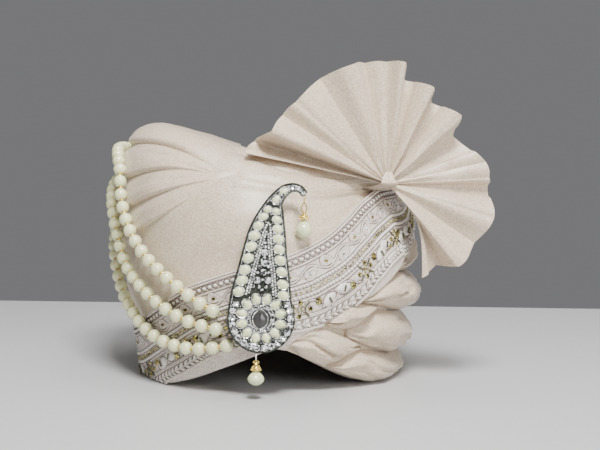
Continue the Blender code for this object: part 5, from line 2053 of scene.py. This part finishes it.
    def model_stone(self, length: float, width: float, height: float, point: float) -> Mesh:
        """A smooth domed stone, long along X and drawn to a point at its far end if asked.

        Args:
            length: Along X.
            width: Along Y.
            height: Of the dome.
            point: How sharply the far end narrows, from 0 to 1.

        Returns:
            Its mesh, sitting on the plane z = 0.
        """
        start_model()
        bpy.ops.mesh.primitive_uv_sphere_add(segments=28, ring_count=20, radius=0.5)
        piece = bpy.context.object
        with editing(piece, everywhere):
            bpy.ops.mesh.bisect(plane_co=(0, 0, 0), plane_no=(0, 0, 1), use_fill=True, clear_inner=True)
        for start in (0.05, 0.18, 0.30, 0.40, 0.46):
            with editing(piece, lambda co, start=start: co.x > start):
                stretch(1, 1 - point * 0.24, 1)
        with editing(piece, everywhere):
            stretch(length, width, height * 2)
        return take_mesh(piece)

    def model_setting(self, length: float, width: float) -> Shape:
        """A thin collar round a stone.

        Args:
            length: Of the stone.
            width: Of the stone.

        Returns:
            The collar's points and faces.
        """
        turn = once_round(28)
        path = np.stack([np.cos(turn) * (length / 2 + 0.0001), np.sin(turn) * (width / 2 + 0.0001)], axis=-1)
        return self.wire(path, 0.0006, 0.00030, 5)

    def set_stone(self, node: str, model: Mesh, place: Matrix, finish: Finish, slot: str) -> None:
        """Sets a stone in place of its solid.

        Args:
            node: The solid.
            model: The stone's mesh.
            place: Its place on the plate.
            finish: Its finish.
            slot: Its slot, which is not used.
        """
        mesh = model.copy()
        mesh.transform(self.frame() @ place)
        piece = link_piece(f"{node}_polished", mesh, finish, 60)
        stand_for(piece, slot, node)

    def build_stones(self) -> None:
        """The petals, the flank stones, the hook's stones and the heart, with their collars and claws."""
        collars: List[Shape] = []
        claws: List[Matrix] = []

        def put(node: str, spot: Array, turn: float, length: float, width: float, point: float) -> None:
            """Sets one stone with its collar and four claws.

            Args:
                node: The solid.
                spot: Its place on the face.
                turn: Which way it points.
                length: Its length.
                width: Its width.
                point: How sharp it is.
            """
            place = Matrix.Translation((float(spot[0]), float(spot[1]), self.seat)) @ Matrix.Rotation(turn, 4, "Z")
            model = self.model_stone(length, width, self.stone_height, point)
            self.set_stone(node, model, place, Finish.JADE, "pale_jade")
            points, faces = self.model_setting(length, width)
            collars.append((moved(points, place), faces))
            for a in (0.6, math.pi - 0.6, math.pi + 0.6, -0.6):
                claw = Vector((math.cos(a) * length * 0.47, math.sin(a) * width * 0.47, 0.0011))
                claws.append(self.frame() @ place @ Matrix.Translation(claw))

        for k in range(12):
            turn = 2 * math.pi * (k + 0.5) / 12
            spot = np.array([math.cos(turn), math.sin(turn)]) * self.petal_ring
            put(f"petal_stone_{k + 1:02d}", spot, turn, *self.petal, 0.6)
        for side, word in ((-1, "right"), (1, "left")):
            for k in range(9):
                start, end = self.flank_stations
                spot = self.flank(start + (end - start) * k / 8, side, self.leaf_stone[0] * 0.56)[0]
                shrink = 1 - self.flank_shrink * max(0, k - 5) / 3
                turn = -side * math.radians(self.leaf_tilt)
                length, width = (size * shrink for size in self.leaf_stone)
                put(f"flank_stone_{word}_{k + 1}", spot, turn, length, width, 0.0)
        for k, (station, angle) in enumerate(((6.15, 60), (7.0, 30))):
            put(f"hook_stone_{k + 1}", self.flank(station, 0, 0)[0], math.radians(angle), *self.hook_stone, 0.0)
        self.piece("pin_collars", collars, Finish.SILVER)
        link_copies("pin_claws", model_ball(6, 4, 0.00042), claws, Finish.SILVER, 180)
        place = Matrix.Translation((-0.0006, 0, self.seat)) @ Matrix.Rotation(math.pi / 2, 4, "Z")
        self.set_stone("heart_stone", self.model_heart(), place, Finish.SMOKE, "smoke_crystal")
        points, faces = self.wire(self.heart_outline(1.06), 0.0009, 0.00042)
        self.piece("pin_heart_collar", [(moved(points, place), faces)], Finish.SILVER)

    def heart_outline(self, share: float) -> Array:
        """The pear shape of the middle stone, its point along X.

        Args:
            share: Of its full size.

        Returns:
            Points round it.
        """
        turn = once_round(48)
        taper = 1 - 0.5 * np.clip(np.cos(turn), 0, None) ** 2
        return np.stack([np.cos(turn) * self.heart[0] / 2, np.sin(turn) * self.heart[1] / 2 * taper], axis=-1) * share

    def model_heart(self) -> Mesh:
        """The pear-cut dark stone with its flat table and facets.

        Returns:
            Its mesh.
        """
        start_model()
        bpy.ops.mesh.primitive_cylinder_add(vertices=16, radius=0.5, depth=1.0, location=(0, 0, 0))
        piece = bpy.context.object
        with editing(piece, everywhere):
            stretch(self.heart[0], self.heart[1], 0.0012)
            bpy.ops.transform.translate(value=(0, 0, 0.0006))
        for start in (0.0010, 0.0030, 0.0045):
            with editing(piece, lambda co, start=start: co.x > start):
                stretch(1, 0.80, 1)
        for inset, lift in ((0.0009, 0.0009), (0.0012, 0.0006)):
            top = max(v.co.z for v in piece.data.vertices)
            with editing(piece, lambda co, top=top: co.z > top - 1e-6):
                bpy.ops.mesh.select_mode(type="FACE")
                bpy.ops.mesh.inset(thickness=inset, depth=0.0)
                bpy.ops.transform.translate(value=(0, 0, lift))
        return take_mesh(piece)

    def model_crystal(self, radius: float) -> Mesh:
        """A round cut crystal: a girdle, eight crown facets and a flat table.

        Args:
            radius: Its radius.

        Returns:
            Its mesh.
        """
        start_model()
        bpy.ops.mesh.primitive_cylinder_add(vertices=8, radius=radius, depth=0.0010, location=(0, 0, 0.0005))
        piece = bpy.context.object
        bpy.ops.object.transform_apply(location=True)
        with editing(piece, lambda co: co.z > 0.0009):
            bpy.ops.mesh.select_mode(type="FACE")
            bpy.ops.mesh.inset(thickness=radius * 0.42, depth=0.0)
            bpy.ops.transform.translate(value=(0, 0, 0.0009))
        return take_mesh(piece)

    def build_crystals(self) -> None:
        """The round crystals of the bowl and the middle, and small ones up the hook."""
        ring = self.bowl - self.crystal_radius * 1.15
        spots = [(ring * math.cos(a), ring * math.sin(a)) for a in np.radians(151 + 238 * np.arange(18) / 17)]
        spots += [(x * self.length, y * self.length) for x, y in self.middle_crystals]
        large = [self.at(x, y, 0.0009) for x, y in spots]
        piece = link_copies("pin_crystals", self.model_crystal(0.0023), large, Finish.CRYSTAL, 10)
        corners = [(0.0021 * math.cos(a), 0.0021 * math.sin(a)) for a in np.radians([45, 135, 225, 315])]
        claws = [self.at(x + dx, y + dy, 0.0018) for x, y in spots for dx, dy in corners]
        link_copies("pin_crystal_claws", model_ball(6, 4, 0.00038), claws, Finish.SILVER, 180)
        hook = [(station, side) for station in np.arange(5.9, 10.01, 0.42) for side in (-0.6, 0.6)]
        small = [self.flank(station, side, 0.0012)[0] for station, side in hook]
        small += [self.flank(station, 0, 0)[0] for station in np.arange(7.6, 10.0, 0.34)]
        small += [(x / 1000, y / 1000) for x, y in self.small_crystals_mm]
        places = [self.at(x, y, 0.0002) for x, y in small]
        piece = link_copies("pin_small_crystals", self.model_crystal(0.0012), places, Finish.CRYSTAL, 10)


@dataclass(frozen=True)
class Pendants:
    """The two drops: one under the bowl, one from the hook, each on its jump ring."""

    pin: Pin
    ring: float = 0.0021
    wire: float = 0.00045
    gap: float = 0.0003
    radius: float = 0.0055
    lower: Tuple[float, float] = (0.0062, 0.0106)
    upper: Tuple[float, float] = (0.0105, 0.0136)

    def build(self) -> None:
        """Builds both drops."""
        frame = self.pin.frame()
        low = frame @ Vector((-0.0030, -self.pin.bowl - self.ring, -self.pin.plate / 2))
        tip = self.pin.row(np.array([10.0]))[0]
        high = frame @ Vector((tip[0], tip[1] - self.ring, -self.pin.plate / 2))
        for word, spot, size, metal, slot in (
            ("lower", low, self.lower, Finish.SILVER, "silver_plate"),
            ("upper", high, self.upper, Finish.GOLD, "gold_plate"),
        ):
            spot = spot - Vector((0, 0, self.wire + self.gap))
            self.build_ring(word, spot, metal, slot)
            self.build_drop(word, spot - Vector((0, 0, self.ring + self.wire + self.gap)), *size)

    def build_ring(self, word: str, centre: Vector, metal: Finish, slot: str) -> None:
        """A round jump ring.

        Args:
            word: Which ring.
            centre: Its middle.
            metal: Its finish.
            slot: Its slot, which is not used.
        """
        start_model()
        bpy.ops.mesh.primitive_torus_add(
            major_radius=self.ring, minor_radius=self.wire, major_segments=32, minor_segments=10,
            location=centre, rotation=(0, math.pi / 2, 0),
        )
        bpy.ops.object.transform_apply(location=True, rotation=True, scale=True)
        piece = link_piece(f"{word}_jump_ring_wire", take_mesh(bpy.context.object), metal)
        stand_for(piece, slot, f"{word}_jump_ring")

    def build_drop(self, word: str, top: Vector, cap: float, length: float) -> None:
        """A polished drop under a beaded gold cap.

        Args:
            word: Which drop.
            top: Where its wire loop ends.
            cap: The length of loop and cap together.
            length: Of the drop below them.
        """
        start_model()
        bpy.ops.mesh.primitive_uv_sphere_add(segments=32, ring_count=24, radius=0.5)
        piece = bpy.context.object
        levels = sorted({round(vertex.co.z, 5) for vertex in piece.data.vertices})
        for level in levels[1:-1]:
            share = 0.5 - level
            wanted = self.radius * math.sin(math.pi * share**1.40) ** 0.6
            factor = wanted / math.sqrt(max(0.25 - level * level, 1e-9))
            with editing(piece, lambda co, level=level: abs(co.z - level) < 1e-4):
                stretch(factor, factor, 1, level)
        with editing(piece, everywhere):
            stretch(1, 1, length)
            bpy.ops.transform.translate(value=(top.x, top.y, top.z - cap - length / 2 + 0.0004))
        jade = link_piece(f"{word}_drop_stone", take_mesh(piece), Finish.JADE)
        stand_for(jade, "pale_jade", f"{word}_drop")
        self.build_cap(word, top, cap)
        self.build_beads(word, top, top.z - cap)
        self.build_wire(word, top, cap)

    def build_cap(self, word: str, top: Vector, length: float) -> None:
        """The stepped gold cup of a cap.

        Args:
            word: Which drop.
            top: Where the loop ends.
            length: Of loop and cap together.
        """
        start_model()
        cup = 0.0044
        bpy.ops.mesh.primitive_cylinder_add(vertices=28, radius=0.5, depth=1.0)
        piece = bpy.context.object
        with editing(piece, everywhere):
            stretch(0.0062, 0.0062, 0.0006)
            bpy.ops.transform.translate(value=(0, 0, -cup + 0.0003))
        for radius, rise in ((0.0026, 0.0010), (0.0019, 0.0011), (0.0009, 0.0008), (0.0008, 0.0006)):
            high = max(vertex.co.z for vertex in piece.data.vertices)
            wide = max(vertex.co.x for vertex in piece.data.vertices if vertex.co.z > high - 1e-6)
            with editing(piece, lambda co, high=high: co.z > high - 1e-6):
                bpy.ops.mesh.select_mode(type="FACE")
                bpy.ops.mesh.extrude_region_move(TRANSFORM_OT_translate={"value": (0, 0, rise)})
                stretch(radius / wide, radius / wide, 1)
        with editing(piece, everywhere):
            bpy.ops.transform.translate(value=(top.x, top.y, top.z - length + cup))
        cap = link_piece(f"{word}_drop_cap", take_mesh(piece), Finish.GOLD, 40)

    def build_beads(self, word: str, top: Vector, low: float) -> None:
        """The three rows of gold beads round the cup.

        Args:
            word: Which drop.
            top: Where its loop ends.
            low: The height of the cup's lower edge.
        """
        places = []
        for count, reach, rise in ((14, 0.0032, 0.0002), (10, 0.0027, 0.0014), (8, 0.0019, 0.0025)):
            for a in np.arange(count) * 2 * math.pi / count + rise * 300:
                spot = (top.x + math.cos(a) * reach, top.y + math.sin(a) * reach, low + rise)
                places.append(Matrix.Translation(spot))
        link_copies(f"{word}_cap_beads", model_ball(8, 6, 0.00052), places, Finish.GOLD, 180)

    def build_wire(self, word: str, top: Vector, length: float) -> None:
        """The long wire loop over the cup and the stem wrapped below it.

        Args:
            word: Which drop.
            top: Where the loop ends.
            length: Of loop and cap together.
        """
        coil = np.linspace(0, 2 * np.pi * 4, 90)
        climb = top.z - length + 0.0036 + 0.0014 * coil / coil[-1]
        stem = np.stack([np.cos(coil) * 0.0009, np.sin(coil) * 0.0009, climb], axis=-1)
        turn = once_round(40)
        tall = max((length - 0.0048) / 2, 0.0009)
        wide = np.sin(turn) * 0.0017 * (1 - 0.35 * np.cos(turn))
        loop = np.stack([wide, 0 * turn, top.z - tall + tall * np.cos(turn)], axis=-1)
        middle = [top.x, top.y, 0]
        parts = [tube_mesh(stem + middle, np.tile([0, 0, 1.0], (90, 1)), 0.00028, 5, False)]
        parts.append(tube_mesh(loop + middle, np.tile([0, 1.0, 0], (40, 1)), 0.00042, 6, True))
        link_piece(f"{word}_drop_wire", new_mesh(f"{word}_drop_wire", *joined(parts)), Finish.GOLD)


def stretch(x: float, y: float, z: float, height: float = 0.0) -> None:
    """Scales what is selected about a point of the Z axis.

    Args:
        x: The factor along X.
        y: The factor along Y.
        z: The factor along Z.
        height: Where the point lies.
    """
    bpy.ops.transform.resize(value=(x, y, z), center_override=(0, 0, height))


def everywhere(co: Vector) -> bool:
    """Chooses every vertex."""
    return True


@contextmanager
def editing(piece: Piece, chosen: Callable[[Vector], bool]) -> Iterator[None]:
    """Edit mode on a piece, with the vertices that pass a test selected.

    Args:
        piece: What to edit.
        chosen: Says which vertices, by their place.

    Yields:
        Nothing. Edit mode ends with the block.
    """
    for item in (*piece.data.polygons, *piece.data.edges, *piece.data.vertices):
        item.select = False
    for vertex in piece.data.vertices:
        vertex.select = chosen(vertex.co)
    bpy.context.view_layer.objects.active = piece
    bpy.ops.object.mode_set(mode="EDIT")
    bpy.ops.mesh.select_mode(type="VERT")
    yield
    bpy.ops.object.mode_set(mode="OBJECT")


def take_mesh(piece: Piece) -> Mesh:
    """Removes a modelled piece's object and keeps its mesh.

    Args:
        piece: The piece.

    Returns:
        Its mesh.
    """
    mesh = piece.data
    bpy.data.objects.remove(piece)
    return mesh


def place_on(spot: Vector, way: Vector, out: Vector) -> Matrix:
    """A placing with Z along a way and Y near an outward direction.

    Args:
        spot: Where.
        way: The way that Z points.
        out: The way that Y leans to.

    Returns:
        The placing.
    """
    z = way.normalized()
    x = out.cross(z).normalized()
    y = z.cross(x)
    return Matrix.Translation(spot) @ Matrix((x, y, z)).transposed().to_4x4()


def repeat_mesh(name: str, model: Mesh, places: Sequence[Matrix]) -> Mesh:
    """One mesh that holds a copy of a model at each place.

    Args:
        name: The new mesh's name.
        model: What is repeated.
        places: Where each copy goes.

    Returns:
        The joined mesh.
    """
    points = mesh_points(model)
    faces = [tuple(face.vertices) for face in model.polygons]
    return new_mesh(name, *joined([(moved(points, place), faces) for place in places]))


def link_copies(name: str, model: Mesh, places: Sequence[Matrix], finish: Finish, angle: float) -> Piece:
    """Copies of a model as one piece, with its name, finish and sharpest smooth edge."""
    return link_piece(name, repeat_mesh(name, model, places), finish, angle)


def model_ball(segments: int, rings: int, radius: float) -> Mesh:
    """A tiny ball with few faces, for chains, grains and claws.

    Args:
        segments: Faces round it.
        rings: Faces from end to end.
        radius: Its radius.

    Returns:
        Its mesh.
    """
    start_model()
    bpy.ops.mesh.primitive_uv_sphere_add(segments=segments, ring_count=rings, radius=radius)
    return take_mesh(bpy.context.object)


def model_grain(length: float, width: float, height: float) -> Mesh:
    """A small rounded grain: a seed bead, a stitch or a stone.

    Args:
        length: Along X.
        width: Along Y.
        height: Along Z.

    Returns:
        Its mesh.
    """
    start_model()
    bpy.ops.mesh.primitive_uv_sphere_add(segments=8, ring_count=5, radius=0.5)
    with editing(bpy.context.object, everywhere):
        stretch(length, width, height)
    return take_mesh(bpy.context.object)


@dataclass(frozen=True)
class Studio:
    """The camera at the photograph's angle, the pale floor and the soft light."""

    place: Tuple[float, float, float] = (0.021, -0.95, 0.172)
    pitch: float = 4.0
    roll: float = 0.8
    lens: float = 76.0

    def build(self) -> None:
        """Sets up camera, floor, world and lamps."""
        camera = bpy.data.cameras.new("camera")
        camera.lens, camera.sensor_width = self.lens, 36.0
        camera.clip_start, camera.clip_end = 0.01, 20.0
        eye = bpy.data.objects.new("camera", camera)
        eye.location = self.place
        tilt = Matrix.Rotation(math.radians(90 - self.pitch), 4, "X")
        eye.rotation_euler = (tilt @ Matrix.Rotation(math.radians(self.roll), 4, "Z")).to_euler()
        bpy.context.scene.collection.objects.link(eye)
        bpy.context.scene.camera = eye
        self.floor()
        self.lamp("key", (0.12, -0.80, 1.16), 33.0, 0.36)
        self.lamp("fill", (0.62, -1.15, 0.50), 8.0, 0.5)
        self.lamp("top", (0.15, 0.15, 1.35), 8.0, 0.7)
        world = bpy.data.worlds.new("studio")
        world.use_nodes = True
        world.node_tree.nodes["Background"].inputs["Color"].default_value = (0.62, 0.62, 0.64, 1)
        world.node_tree.nodes["Background"].inputs["Strength"].default_value = 0.30
        bpy.context.scene.world = world

    def floor(self) -> None:
        """A wide pale table top that ends a little behind the turban."""
        start_model()
        bpy.ops.mesh.primitive_plane_add(size=8.0, location=(0, -3.66, -0.0002))
        floor = bpy.context.object
        floor.name = "floor"
        material, shader, _, _ = start_material("pale_floor")
        shader.inputs["Base Color"].default_value = (0.55, 0.55, 0.55, 1)
        shader.inputs["Roughness"].default_value = 0.45
        floor.data.materials.append(material)
        floor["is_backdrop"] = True

    def lamp(self, name: str, place: Tuple[float, float, float], power: float, size: float) -> None:
        """A soft square lamp aimed at the turban.

        Args:
            name: Its name.
            place: Where it hangs.
            power: In watts.
            size: Its side.
        """
        lamp = bpy.data.lights.new(name, "AREA")
        lamp.energy, lamp.size = power, size
        item = bpy.data.objects.new(name, lamp)
        item.location = place
        aim = Vector((0.0, 0.0, 0.10)) - Vector(place)
        item.rotation_euler = aim.to_track_quat("-Z", "Y").to_euler()
        bpy.context.scene.collection.objects.link(item)


def corners() -> List[List[float]]:
    """The shown object's lowest and highest corner as plain lists."""
    return [[float(value) for value in corner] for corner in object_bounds()]


def main() -> None:
    """Builds the whole scene in order."""
    logging.basicConfig(level=logging.INFO, format="%(message)s")
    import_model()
    Studio().build()
    skin = Skin()
    path = BorderPath(skin)
    panel = FrontPanel(skin, path)
    WoundCrown(skin, path).build()
    WingPleats(skin, path).build()
    panel.build()
    SaddleFolds(skin, path).build(panel)
    TempleRolls(skin, path).build()
    Cockade(skin, path).build()
    EmbroideredBorder(path).build()
    PearlStrands(skin).build()
    Pin(skin).build()


if __name__ == "__main__":
    main()
